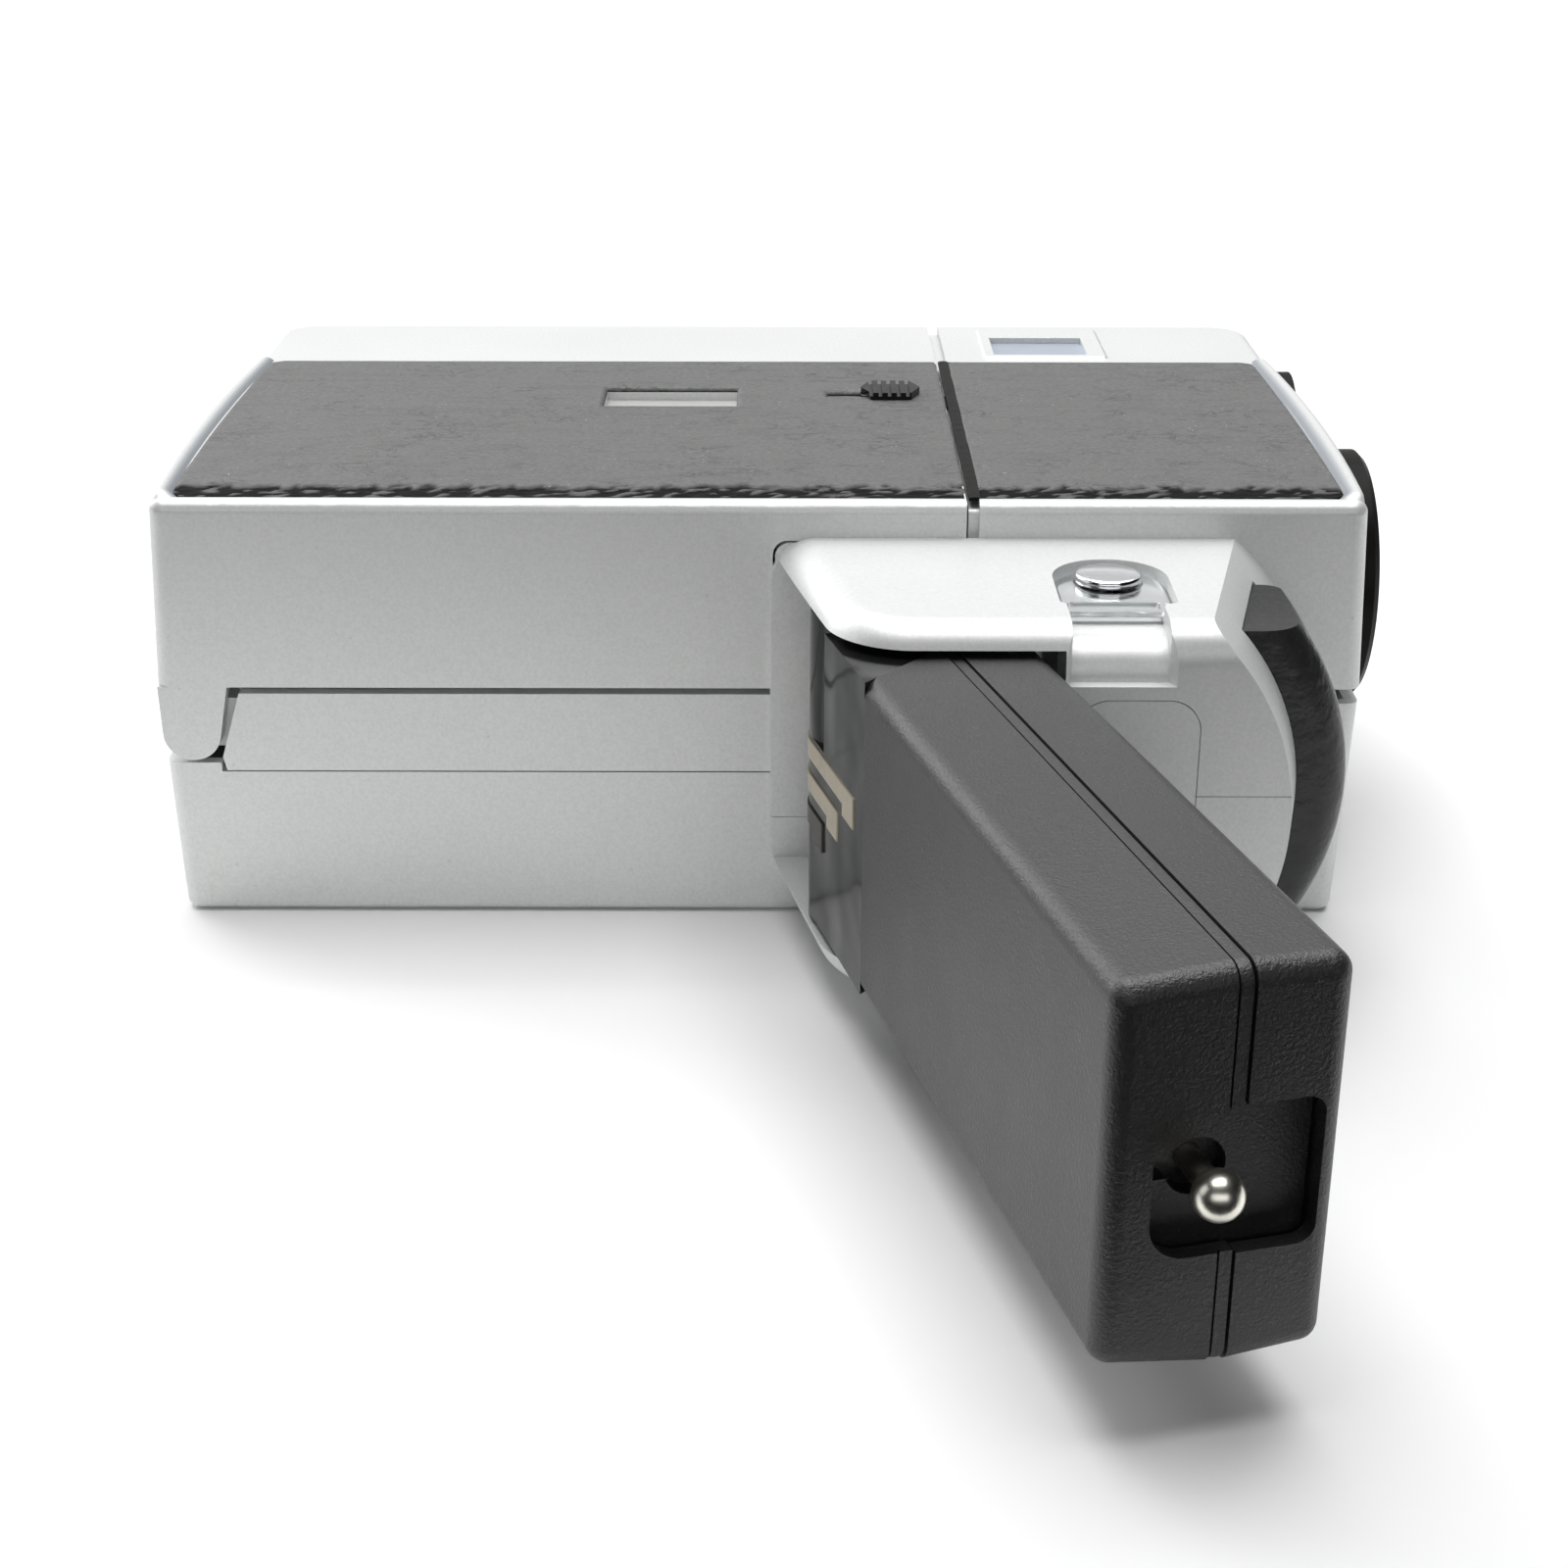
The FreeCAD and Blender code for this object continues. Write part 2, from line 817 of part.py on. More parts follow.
def chassis():
    walls = chassis_box(chassis_inset, floor_bottom, wall_top)
    walls = walls.cut(chassis_box(chassis_inset + chassis_wall, floor_height, wall_top))
    partition_wall = block(rear + chassis_start + 0.5, rear + gate_front + 1, bottom + partition,
                           bottom + partition + chassis_wall, floor_bottom, wall_top)
    pieces = [walls, partition_wall, gate_wall(), bulkhead(), housing_pad(),
              chassis_strip(-1, rear + housing_rear), chassis_strip(1, door_front)]
    body = fuse(pieces + hinge_lugs())
    lens_line = Vector(0, lens_y, lens_height)
    x_bulk = Vector(rear + bulkhead_rear, 0, 0)
    tools = [rod(lens_barrel_radius, lens_line + x_bulk - Vector(5, 0, 0), lens_line + Vector(reach, 0, 0)),
             rod(aperture_width, lens_line, lens_line + x_bulk),
             block(rear + gate_front + chassis_wall, rear + bulkhead_rear, lens_y - drive_room_bottom,
                   lens_y + drive_room_top, 0, floor_height + 0.1),
             rod(spindle_radius + bush_wall, Vector(spindle_at().x, spindle_at().y, 0),
                 Vector(spindle_at().x, spindle_at().y, reach)),
             block(rear + bulkhead_rear + bulkhead_thickness, front - chassis_inset,
                   lens_y - lens_barrel_radius - lens_room_side, lens_y + lens_barrel_radius + lens_room_side,
                   0, wall_top + lens_room)]
    for y0, y1 in lug_places():
        tools.append(rod(door_pin_radius, Vector(pivot_x, y0 - 1, pivot_z), Vector(pivot_x, y1 + 1, pivot_z)))
    for tool in tools:
        body = body.cut(tool)
    return body


def film_gate():
    x0 = rear + gate_front - gate_thickness
    half = gate_width / 2
    body = block(x0, x0 + gate_thickness, lens_y - half, lens_y + half, floor_height, gate_height)
    hole = block(x0 - 1, reach, lens_y - aperture_height / 2, lens_y + aperture_height / 2,
                 lens_height - aperture_width / 2, lens_height + aperture_width / 2)
    return body.cut(hole)


# Lens, meter window and finder

def lens_point(x):
    return Vector(rear + x, lens_y, lens_height)


def barrel_end():
    return focus_front - filter_depth - focus_lip - swing_gap


def lens_barrel():
    """Fixed barrel with its flange on the bulkhead and a step that carries the focus ring."""
    seat = bulkhead_rear + bulkhead_thickness
    end = barrel_end()
    body = tube(lens_barrel_radius, lens_barrel_radius - barrel_wall, lens_point(bulkhead_rear),
                lens_point(end))
    flange = tube(flange_radius, lens_barrel_radius - barrel_wall, lens_point(seat),
                  lens_point(seat + flange_thickness))
    return fuse([body, flange])


def focus_ring():
    outer_start = focus_front - focus_length
    outer = rod(focus_radius, lens_point(outer_start), lens_point(focus_front))
    rim = [e for e in outer.Edges if abs(e.CenterOfMass.x - (rear + focus_front)) < 0.01]
    outer = outer.makeChamfer(focus_bevel, rim)
    bore = rod(lens_barrel_radius + running_gap, lens_point(outer_start - 1),
               lens_point(focus_front - filter_depth - focus_lip))
    seat = rod(focus_lip_radius, lens_point(outer_start), lens_point(focus_front - filter_depth))
    thread = rod(filter_radius, lens_point(focus_front - filter_depth), lens_point(focus_front + 1))
    return outer.cut(bore).cut(seat).cut(thread)


def lens_disc(radius, x0, x1, bulge):
    """Glass element, flat behind and domed in front."""
    sphere_radius = (radius * radius + bulge * bulge) / (2 * bulge)
    flat = rod(radius, lens_point(x0), lens_point(x1 + bulge))
    ball = Part.makeSphere(sphere_radius, lens_point(x1 + bulge - sphere_radius))
    return flat.common(ball)


def front_glass():
    inner = lens_barrel_radius - barrel_wall
    x1 = barrel_end() - glass_bulge
    return lens_disc(inner, x1 - glass_thickness, x1, glass_bulge)


def rear_glass():
    inner = lens_barrel_radius - barrel_wall
    start = bulkhead_rear + rear_glass_place
    return lens_disc(inner, start, start + inner_glass_length, inner_glass_bulge)


def middle_glass():
    inner = lens_barrel_radius - barrel_wall
    start = bulkhead_rear + middle_glass_place
    return lens_disc(inner, start, start + inner_glass_length, inner_glass_bulge)


def meter_point(x):
    return Vector(x, meter_y, meter_height)


def meter_hood():
    """Black hood of the light meter's window, let into the front cover."""
    face = half_front()
    outer = tube(meter_radius, meter_glass_radius, meter_point(face), meter_point(face + meter_protrusion))
    collar = tube(meter_radius - meter_step, meter_glass_radius, meter_point(face - 2 * cover_wall),
                  meter_point(face))
    return fuse([outer, collar])


def half_front():
    """Front face of the right cover at the meter window's upper edge, where the draft is least."""
    return half_length(meter_height - meter_radius)


def meter_window():
    face = half_front()
    start = face + meter_glass_inset
    return rod(meter_glass_radius, meter_point(start), meter_point(start + meter_glass))


def eye_point(x):
    return Vector(x, eyepiece_y, eyepiece_height)


def eyepiece():
    inner = rear + cover_wall + eyepiece_depth
    outer = rear - eyepiece_protrusion
    ring = tube(eyepiece_radius, eyepiece_glass_radius, eye_point(outer), eye_point(inner))
    collar = tube(eyepiece_radius + eyepiece_collar, eyepiece_glass_radius, eye_point(inner),
                  eye_point(inner + finder_inset - eyepiece_depth))
    return fuse([ring, collar])


def eyepiece_glass():
    start = rear + eyepiece_glass_inset
    return rod(eyepiece_glass_radius, eye_point(start), eye_point(start + eyepiece_glass_length))


def finder_tube():
    start = rear + cover_wall + finder_inset
    return tube(finder_radius, finder_radius - finder_wall, eye_point(start),
                eye_point(rear + bulkhead_rear + bulkhead_thickness))


def finder_box():
    """Prism box of the reflex finder, hung under the chassis floor."""
    x0 = rear + bulkhead_rear + bulkhead_thickness
    return block(x0, x0 + finder_box_length, eyepiece_y - finder_box_reach, eyepiece_y + finder_radius
                 + finder_wall, eyepiece_height - finder_box_depth, floor_bottom)


# Grip housing

def slant(drop):
    return drop * math.tan(math.radians(housing_taper))


def housing_nose_form(radius_cut, drop0, drop1):
    """Solid behind the curved nose, between two drops; radius_cut sets it back for a wall."""
    wires = []
    for drop in (drop0, drop1):
        apex = rear + housing_nose - slant(drop) - radius_cut
        radius = housing_nose_radius - radius_cut
        half = min(radius * 0.82, (housing_top - housing_bottom) / 2 + 1.5)
        depth = radius - math.sqrt(radius * radius - half * half)
        y = below(drop)
        low = Vector(apex - depth, y, housing_middle - half)
        high = Vector(apex - depth, y, housing_middle + half)
        back = rear + housing_rear - loft_back
        wires.append(Part.Wire([
            Part.makeLine(Vector(back, y, housing_middle - half), low),
            Part.Arc(low, Vector(apex, y, housing_middle), high).toShape(),
            Part.makeLine(high, Vector(back, y, housing_middle + half)),
            Part.makeLine(Vector(back, y, housing_middle + half), Vector(back, y, housing_middle - half))]))
    return Part.makeLoft(wires, True, True)


def housing_outer():
    x0 = rear + housing_rear
    corners = [(x0, bottom, 0), (x0 + slant(housing_drop), below(housing_drop), housing_corner),
               (reach, below(housing_drop), 0), (reach, bottom, 0)]
    body = plate(corners, housing_bottom, housing_top)
    for z in (housing_top, housing_bottom):
        edges = [e for e in level_edges(body, z) if is_rear_edge(e, x0)]
        body = body.makeFillet(housing_edge_round, housing_rear_round, edges)
    return body.common(housing_nose_form(0, -1, housing_drop + 1))


def is_rear_edge(edge, x0):
    xs = [v.X for v in edge.Vertexes]
    ys = [v.Y for v in edge.Vertexes]
    return min(xs) < x0 + 0.01 and max(ys) > bottom - 0.01 and min(ys) < bottom - 1


def clevis_void():
    return block(-reach, void_front, -reach, below(clevis_floor), lower_top, upper_bottom)


def housing_cavity():
    """Room inside the housing's nose for the trigger, the switch and the lock."""
    x0 = void_front + housing_wall
    room = block(x0, reach, below(housing_drop - housing_wall), below(clevis_floor),
                 lower_top - 1.5, upper_bottom)
    return room.common(housing_nose_form(housing_wall, -1, housing_drop + 1))


def lug_outline(grow, front_drop):
    """D shape of the strap plate in X and Y, round at the back and straight in front."""
    x = rear + lug_center
    r = lug_radius + grow
    y = below(lug_drop)
    return [(x - r, below(front_drop), lug_front_corner), (x + r, below(front_drop), lug_front_corner),
            (x + r, y + r, r * 0.98), (x - r, y + r, r * 0.98)]


def strap_floor():
    return housing_top - lug_depth - strap_room


def channel_outline():
    """Straight sides behind the channel's floor, and sides that open outwards in front of it."""
    x = rear + lug_center - 0.6
    half = channel_width / 2
    mouth = half + channel_flare
    y0 = below(housing_drop + 1)
    y1 = below(housing_drop - channel_depth)
    y2 = below(lug_front)
    return [(x - mouth, y0, 0), (x + mouth, y0, 0), (x + half, y1, 0), (x + half, y2, 0),
            (x - half, y2, 0), (x - half, y1, 0)]


def strap_pocket():
    """Pocket of the strap plate, the strap's way out under it, and the channel in the front."""
    pocket = plate(lug_outline(0.15, lug_front), housing_top - lug_depth, reach)
    x = rear + lug_center
    half = lug_slot_length / 2
    way = block(x - half, x + half, below(lug_front + 1), below(lug_slot_drop - lug_slot_width / 2),
                strap_floor(), housing_top)
    channel = plate(channel_outline(), channel_bottom, reach)
    keep = block(x - channel_width, x + channel_width, below(housing_drop - channel_depth), bottom,
                 0, strap_floor())
    keep = keep.makeFillet(channel_round, [e for e in keep.Edges if is_channel_edge(e)])
    return fuse([pocket, way, channel.cut(keep)])


def is_channel_edge(edge):
    y = below(housing_drop - channel_depth)
    z = strap_floor()
    return all(abs(v.Y - y) < 0.01 and abs(v.Z - z) < 0.01 for v in edge.Vertexes)


def lug_pad():
    """Thicker wall under the strap pocket and behind the channel."""
    x = rear + lug_center
    half = lug_radius + lug_pad_margin
    wall = below(housing_drop - housing_wall)
    x0 = void_front + housing_wall
    under = block(x0, x + half, wall, below(lug_drop - half), upper_bottom - lug_depth, upper_bottom)
    behind = block(x0, x + half, wall, below(trigger_top_drop + trigger_height + trigger_gap),
                   channel_bottom - channel_backing, upper_bottom)
    return under.fuse(behind)


def trigger_slot():
    half = housing_middle - housing_bottom - trigger_end_margin + trigger_gap
    start = rear + housing_nose - trigger_slot_length
    return block(start, reach, below(trigger_top_drop + trigger_height + trigger_gap),
                 below(trigger_top_drop - trigger_gap), housing_middle - half, housing_middle + half)


def tripod_outline(grow):
    x0 = rear + tripod_plate_rear
    return rectangle(x0 - grow, x0 + tripod_plate_length + grow,
                     housing_bottom + tripod_plate_margin - grow,
                     housing_top - tripod_plate_margin + grow, tripod_plate_corner)


def socket_axis(drop):
    return Vector(rear + tripod_plate_rear + tripod_plate_length / 2, below(drop), housing_middle)


def housing():
    body = housing_outer().cut(clevis_void()).cut(housing_cavity())
    foot = plate_xz(root_outline(0), bottom, bottom + cover_wall)
    pad = lug_pad().common(housing_nose_form(housing_wall, -1, housing_drop + 1))
    body = fuse([body, foot, pad])
    button_line = Vector(rear + lug_center, below(lug_drop), 0)
    button_top = button_line + Vector(0, 0, reach)
    tools = [
        strap_pocket(), trigger_slot(), grip_pin(),
        rod(button_radius + button_gap, button_line + Vector(0, 0, button_floor()), button_top),
        rod(button_stem + running_gap, button_line + Vector(0, 0, housing_middle), button_top),
        plate_xz(tripod_outline(seam / 2), below(housing_drop + 1),
                 below(housing_drop - tripod_plate_thickness)),
        rod(socket_bush_radius, socket_axis(housing_drop - housing_wall), socket_axis(housing_drop + 1))]
    for tool in tools:
        body = body.cut(tool)
    return body


def right_half():
    return [block(void_front, reach, -reach, reach, housing_seam, reach),
            block(-reach, void_front, -reach, reach, rear_seam, reach)]


def housing_right(whole):
    parts = [whole.common(half) for half in right_half()]
    return fuse(parts)


def housing_left(whole):
    body = whole
    for x0, x1, z in ((void_front, reach, housing_seam), (-reach, void_front, rear_seam)):
        body = body.cut(block(x0, x1, -reach, reach, z - seam / 2, reach))
    return body


def tripod_plate():
    body = plate_xz(tripod_outline(0), below(housing_drop), below(housing_drop - tripod_plate_thickness))
    return body.cut(rod(socket_bush_radius, socket_axis(0), socket_axis(housing_drop + 1)))


def tripod_socket():
    """Threaded bush for a tripod screw, closed at its inner end."""
    inner = housing_drop - socket_depth
    body = rod(socket_bush_radius, socket_axis(inner - socket_floor), socket_axis(housing_drop))
    return body.cut(rod(socket_radius, socket_axis(inner), socket_axis(housing_drop + 1)))


def strap_plate():
    low = housing_top - lug_depth
    body = plate(lug_outline(0, lug_front), low, low + lug_plate_thickness)
    x = rear + lug_center
    slot = block(x - lug_slot_length / 2, x + lug_slot_length / 2, below(lug_slot_drop + lug_slot_width / 2),
                 below(lug_slot_drop - lug_slot_width / 2), 0, reach)
    hole = rod(button_radius + button_gap, Vector(x, below(lug_drop), 0), Vector(x, below(lug_drop), reach))
    return body.cut(slot).cut(hole)


def button_floor():
    return housing_top - lug_depth - button_travel - button_room


def lock_button():
    """Domed chrome button over the strap plate, on a stem that lets the grip go."""
    line = Vector(rear + lug_center, below(lug_drop), 0)
    low = housing_top - lug_depth + lug_plate_thickness - button_skirt
    high = low + 2 * button_skirt
    skirt = rod(button_radius, line + Vector(0, 0, low), line + Vector(0, 0, high))
    sphere = (button_radius ** 2 + button_dome ** 2) / (2 * button_dome)
    dome = Part.makeSphere(sphere, line + Vector(0, 0, high + button_dome - sphere))
    dome = dome.common(rod(button_radius, line + Vector(0, 0, high), line + Vector(0, 0, high + button_dome)))
    stem = rod(button_stem, line + Vector(0, 0, low - button_stem_length), line + Vector(0, 0, low))
    return fuse([skirt, dome, stem])


def trigger():
    """Curved trigger bar: a rounded bar turned about the nose's centre, cut flat at both ends."""
    half = housing_middle - housing_bottom - trigger_end_margin
    y0 = below(trigger_top_drop + trigger_height)
    y1 = below(trigger_top_drop)
    r0 = trigger_radius - trigger_body
    bar = plate([(r0, y0, 0), (trigger_radius, y0, trigger_corner), (trigger_radius, y1, 2.0), (r0, y1, 0)],
                0, 0.001)
    face = [f for f in bar.Faces if abs(f.CenterOfMass.z) < 1e-6][0]
    face.rotate(Vector(0, 0, 0), Vector(0, 1, 0), 60)
    body = face.revolve(Vector(0, 0, 0), Vector(0, 1, 0), -120)
    body.translate(Vector(rear + trigger_nose - trigger_radius, 0, housing_middle))
    return body.common(block(-reach, reach, -reach, reach, housing_middle - half, housing_middle + half))


def trigger_switch():
    half = switch_width / 2
    x1 = trigger_inner_x(half) - trigger_travel - 2 * trigger_gap
    y = below(trigger_top_drop + trigger_height)
    return block(x1 - switch_length, x1, y, below(clevis_floor), housing_middle - half, housing_middle + half)


def trigger_inner_x(offset):
    """X of the trigger's inner face at a distance from the middle of the housing."""
    inner = trigger_radius - trigger_body
    return rear + trigger_nose - trigger_radius + math.sqrt(inner ** 2 - offset ** 2)


def trigger_springs():
    """Pair of return springs, drawn as sleeves, between the trigger and the housing's inner wall."""
    y = below(trigger_top_drop + trigger_height / 2)
    springs = []
    for side in (-1, 1):
        z = housing_middle + side * spring_offset
        x1 = trigger_inner_x(spring_offset + spring_radius)
        springs.append(tube(spring_radius, spring_radius - 0.6, Vector(void_front + housing_wall, y, z),
                            Vector(x1 - swing_gap, y, z)))
    return Part.makeCompound(springs)


# Grip, built hanging straight down from the hinge axis and then leaned forward

def lean(shape):
    body = shape.copy()
    body.rotate(Vector(0, 0, 0), Vector(0, 0, 1), grip_lean)
    body.translate(Vector(hinge_at_x, hinge_y, 0))
    return body


def hinge_barrel():
    """Barrel on the hinge pin, with a cheek that carries the contact strips."""
    barrel = rod(barrel_radius, Vector(0, 0, lower_top + swing_gap), Vector(0, 0, upper_bottom - swing_gap))
    cheek = block(left_face, 0, -hinge_block_start, 0, grip_bottom, cheek_top)
    body = fuse([barrel, cheek])
    return lean(body.cut(rod(hinge_pin_radius + running_gap, Vector(0, 0, 0), Vector(0, 0, reach))))


def start_corners(a_end, drop):
    """Slanted start of the shells in plan: a corner at the left face and one at a_end."""
    slope = (shell_start - shell_start_right) / grip_thickness
    return [(left_face, -shell_start - drop), (a_end, -shell_start - drop + slope * (a_end - left_face))]


def grip_hinge():
    """Glossy block that fills the wedge between the barrel and the grip's shells."""
    (a0, y0), (a1, y1) = start_corners(right_face - grip_wall - swing_gap, 0)
    corners = [(a0, -hinge_block_start, 0), (a0, y0, 0), (a1, y1, hinge_block_round),
               (barrel_radius + hinge_block_round, -hinge_block_start, hinge_block_round)]
    body = plate(corners, grip_bottom, grip_top)
    return lean(body.cut(rod(barrel_radius, Vector(0, 0, 0), Vector(0, 0, reach))))


def grip_section(y, inset, crown):
    """Six-cornered section across the grip at a place along it; crown lifts it along the seam."""
    a0 = left_face + inset
    a1 = left_face + grip_seam + seam_band / 2
    a2 = right_face - inset
    falls = [grip_bottom - fall * crown for fall in (0, crown_fall, right_fall)]
    rises = [grip_top + rise * crown for rise in (right_rise, crown_rise, 0)]
    levels = falls + rises
    levels = [z + inset for z in levels[:3]] + [z - inset for z in levels[3:]]
    corners = [Vector(a, y, z) for a, z in zip((a0, a1, a2, a2, a1, a0), levels)]
    return Part.makePolygon(corners + corners[:1])


def grip_form(inset):
    """Outer form of both shells, rounded on its long corners and round its end."""
    end = -grip_reach + inset
    body = Part.makeLoft([grip_section(0, inset, 0), grip_section(end, inset, 1)], True, True)
    middle = left_face + grip_seam + seam_band / 2
    edges = [e for e in body.Edges if e.BoundBox.YMin < -1 and not is_crown_line(e, middle)]
    body = body.makeFillet(grip_round, edges)
    return body.common(behind_start(0))


def behind_start(drop):
    """Everything past the shells' slanted start, or a gap further along the grip."""
    (a0, y0), (a1, y1) = start_corners(right_face + 1, drop)
    corners = [(a0 - 1, -reach, 0), (a1, -reach, 0), (a1, y1, 0), (a0, y0, 0), (a0 - 1, y0, 0)]
    return plate(corners, 0, body_width)


def is_crown_line(edge, middle):
    """True for the two long lines of the seam, which stay sharp under its band."""
    return all(abs(v.X - middle) < 1e-3 for v in edge.Vertexes)


def slice_across(shape, across0, across1):
    return shape.common(block(left_face + across0, left_face + across1, -reach, reach, 0, body_width))


def recess_cut(depth, grow):
    a0 = left_face + recess_left - grow
    a1 = a0 + recess_width + 2 * grow
    z0 = recess_bottom - grow
    z1 = recess_bottom + recess_height + grow
    outline = [(a0, z0, recess_corner), (a1, z0, recess_corner / 2), (a1, z1, recess_corner / 2),
               (a0, z1, recess_corner)]
    return plate_xz(outline, -grip_reach - 1, -grip_reach + depth)


def grip_room(a0):
    """Space inside the shells, from a distance across to the right wall."""
    return block(a0, right_face - grip_wall, -grip_reach + grip_wall, reach, grip_bottom + grip_wall,
                 grip_top - grip_wall)


def grip_shell():
    """Fixed left half of the grip with the narrow band along its seam."""
    half = slice_across(grip_form(0), -1, grip_seam - seam_groove)
    groove = slice_across(grip_form(groove_inset), grip_seam - seam_groove, grip_seam)
    band = slice_across(grip_form(band_inset), grip_seam, grip_seam + seam_band - seam_groove)
    body = fuse([half, groove, band])
    return lean(body.cut(grip_room(left_face + grip_wall)).cut(recess_cut(recess_depth, 0)))


def stud_line(y):
    return Vector(left_face + stud_across, y, stud_height)


def end_plate():
    """Floor of the recess in the grip's end, with the stud's keyed hole."""
    y0 = -grip_reach + recess_depth
    y1 = y0 + end_plate_thickness
    body = block(left_face + grip_wall, right_face - grip_wall - swing_gap, y0, y1,
                 grip_bottom + grip_wall, grip_top - grip_wall)
    a = left_face + stud_across
    deep = y1 - 1.0
    key = block(a - stud_mouth - 1.4, a, y0 - 1, deep, stud_height - 1, stud_height + 1)
    body = body.cut(rod(stud_shaft + running_gap, stud_line(y0 - 1), stud_line(y1 + 1)))
    return lean(body.cut(rod(stud_mouth, stud_line(y0 - 1), stud_line(deep))).cut(key))


def end_stud():
    """Ball-headed stud in the grip's end that lets the battery cover go."""
    y0 = -grip_reach + recess_depth
    inner = y0 + end_plate_thickness
    ball = Part.makeSphere(stud_ball, stud_line(y0 - stud_reach))
    shaft = rod(stud_shaft, stud_line(y0 - stud_reach), stud_line(inner + 2.5))
    head = rod(stud_shaft + 0.8, stud_line(inner + 0.1), stud_line(inner + 2.5))
    return lean(fuse([ball, shaft, head]))


def battery_cover():
    """Right half of the grip, which slides off its lower end."""
    start = grip_seam + seam_band
    half = slice_across(grip_form(0), start, grip_thickness + 1).common(behind_start(swing_gap))
    return lean(half.cut(grip_room(left_face + start - 1)).cut(recess_cut(recess_depth + 1, swing_gap)))


def cell_axis(index):
    middle = (grip_bottom + grip_top) / 2
    return middle + (index - 0.5) * 2 * (cell_radius + 0.4)


def cell_start():
    return shell_start + cell_inset


def battery_cell(index):
    """Round cell with its raised contact; the second one lies the other way round."""
    z = cell_axis(index)
    a = left_face + grip_wall + tray_base + cell_radius
    y0 = -cell_start()
    y1 = y0 - cell_length
    tip, foot = (y1, y0) if index else (y0, y1)
    way = 1 if tip > foot else -1
    can = rod(cell_radius, Vector(a, foot, z), Vector(a, tip - way * cell_nub_length, z))
    nub = rod(cell_nub, Vector(a, tip - way * cell_nub_length, z), Vector(a, tip, z))
    return lean(fuse([can, nub]))


def cell_tray():
    """Tray in the left half that carries the cells between its two end walls."""
    a0 = left_face + grip_wall
    a1 = a0 + tray_base + cell_radius
    z0 = grip_bottom + grip_wall
    z1 = grip_top - grip_wall
    y0 = -cell_start()
    y1 = y0 - cell_length
    base = block(a0, a0 + tray_base, y1, y0, z0, z1)
    walls = [block(a0, a1, y0, y0 + grip_wall, z0, z1), block(a0, a1, y1 - grip_wall, y1, z0, z1)]
    return lean(fuse([base] + walls))


def end_contact():
    """Sprung leaf that joins the two cells at the grip's lower end."""
    y = -cell_start() - cell_length - grip_wall
    a0 = left_face + grip_wall + end_contact_gap
    return lean(block(a0, a0 + end_contact_width, y - end_contact_leaf, y,
                      cell_axis(0) - end_contact_margin, cell_axis(1) + end_contact_margin))


def contact_strip(index):
    """Brass strip that comes off the barrel and runs along the left face to a tab."""
    z1 = contact_top - contact_pitch * index
    z0 = z1 - contact_width
    y1 = -contact_end + contact_step * index
    run = block(left_face - contact_thickness, left_face, y1, 0, z0, z1)
    tab = block(left_face - contact_thickness, left_face, y1, y1 + contact_tab_length,
                z0 - contact_tab_drop, z0)
    ring = tube(barrel_radius + contact_thickness, barrel_radius, Vector(0, 0, z0), Vector(0, 0, z1))
    arc = ring.common(block(-reach, -barrel_radius / 2, 0, reach, z0, z1))
    return fuse([run, tab, arc])


def contact_strips():
    return lean(Part.makeCompound([contact_strip(index) for index in range(3)]))


def grip_pin():
    return rod(hinge_pin_radius, Vector(hinge_at_x, hinge_y, lower_top - pin_hold),
               Vector(hinge_at_x, hinge_y, upper_bottom + pin_hold))


# Film drive

def shutter_axis():
    return Vector(0, lens_y + shutter_offset, lens_height - shutter_offset)


def motor_axis():
    """Parallel to the shutter shaft, one gear centre distance away and at the motor's height."""
    distance = gear_module * (pinion_teeth + shutter_teeth) / 2
    rise = shutter_axis().z - motor_height
    return Vector(0, shutter_axis().y - math.sqrt(distance ** 2 - rise ** 2), motor_height)


def gear(teeth, center, start_angle):
    """Spur gear about an X axis, with straight-flanked teeth and backlash."""
    pitch = gear_module * teeth / 2
    root = pitch - 1.2 * gear_module
    tip = pitch + 0.9 * gear_module
    step = 2 * math.pi / teeth
    thick = math.pi * gear_module / 2 - gear_backlash
    points = []
    for i in range(teeth):
        middle = start_angle + i * step
        for radius, share in ((root, 1.45), (pitch, 1.0), (tip, 0.46)):
            points.append((radius, middle - thick * share / 2 / pitch))
        for radius, share in ((tip, 0.46), (pitch, 1.0), (root, 1.45)):
            points.append((radius, middle + thick * share / 2 / pitch))
    corners = [(r * math.cos(a), r * math.sin(a), 0) for r, a in points]
    wire = Part.makePolygon([Vector(x, y, 0) for x, y, r in corners + corners[:1]])
    body = Part.Face(wire).extrude(Vector(0, 0, gear_width))
    body.rotate(Vector(0, 0, 0), Vector(1, 1, 1), 120)
    body.translate(center)
    return body


def gear_start():
    return rear + bracket_rear - gear_width - 0.6


def mesh_angle():
    delta = shutter_axis() - motor_axis()
    return math.atan2(delta.z, delta.y)


def motor_pinion():
    x0 = gear_start()
    line = motor_axis()
    pinion = gear(pinion_teeth, line + Vector(x0, 0, 0), mesh_angle())
    shaft = rod(shaft_radius, line + Vector(x0 - 0.5, 0, 0), line + Vector(motor_shaft_end(), 0, 0))
    return fuse([pinion, shaft])


def shutter_gear():
    x0 = gear_start()
    half_tooth = math.pi / shutter_teeth
    wheel = gear(shutter_teeth, shutter_axis() + Vector(x0, 0, 0), mesh_angle() + math.pi + half_tooth)
    return wheel.cut(rod(shaft_radius, shutter_axis() + Vector(x0 - 1, 0, 0),
                         shutter_axis() + Vector(x0 + 5, 0, 0)))


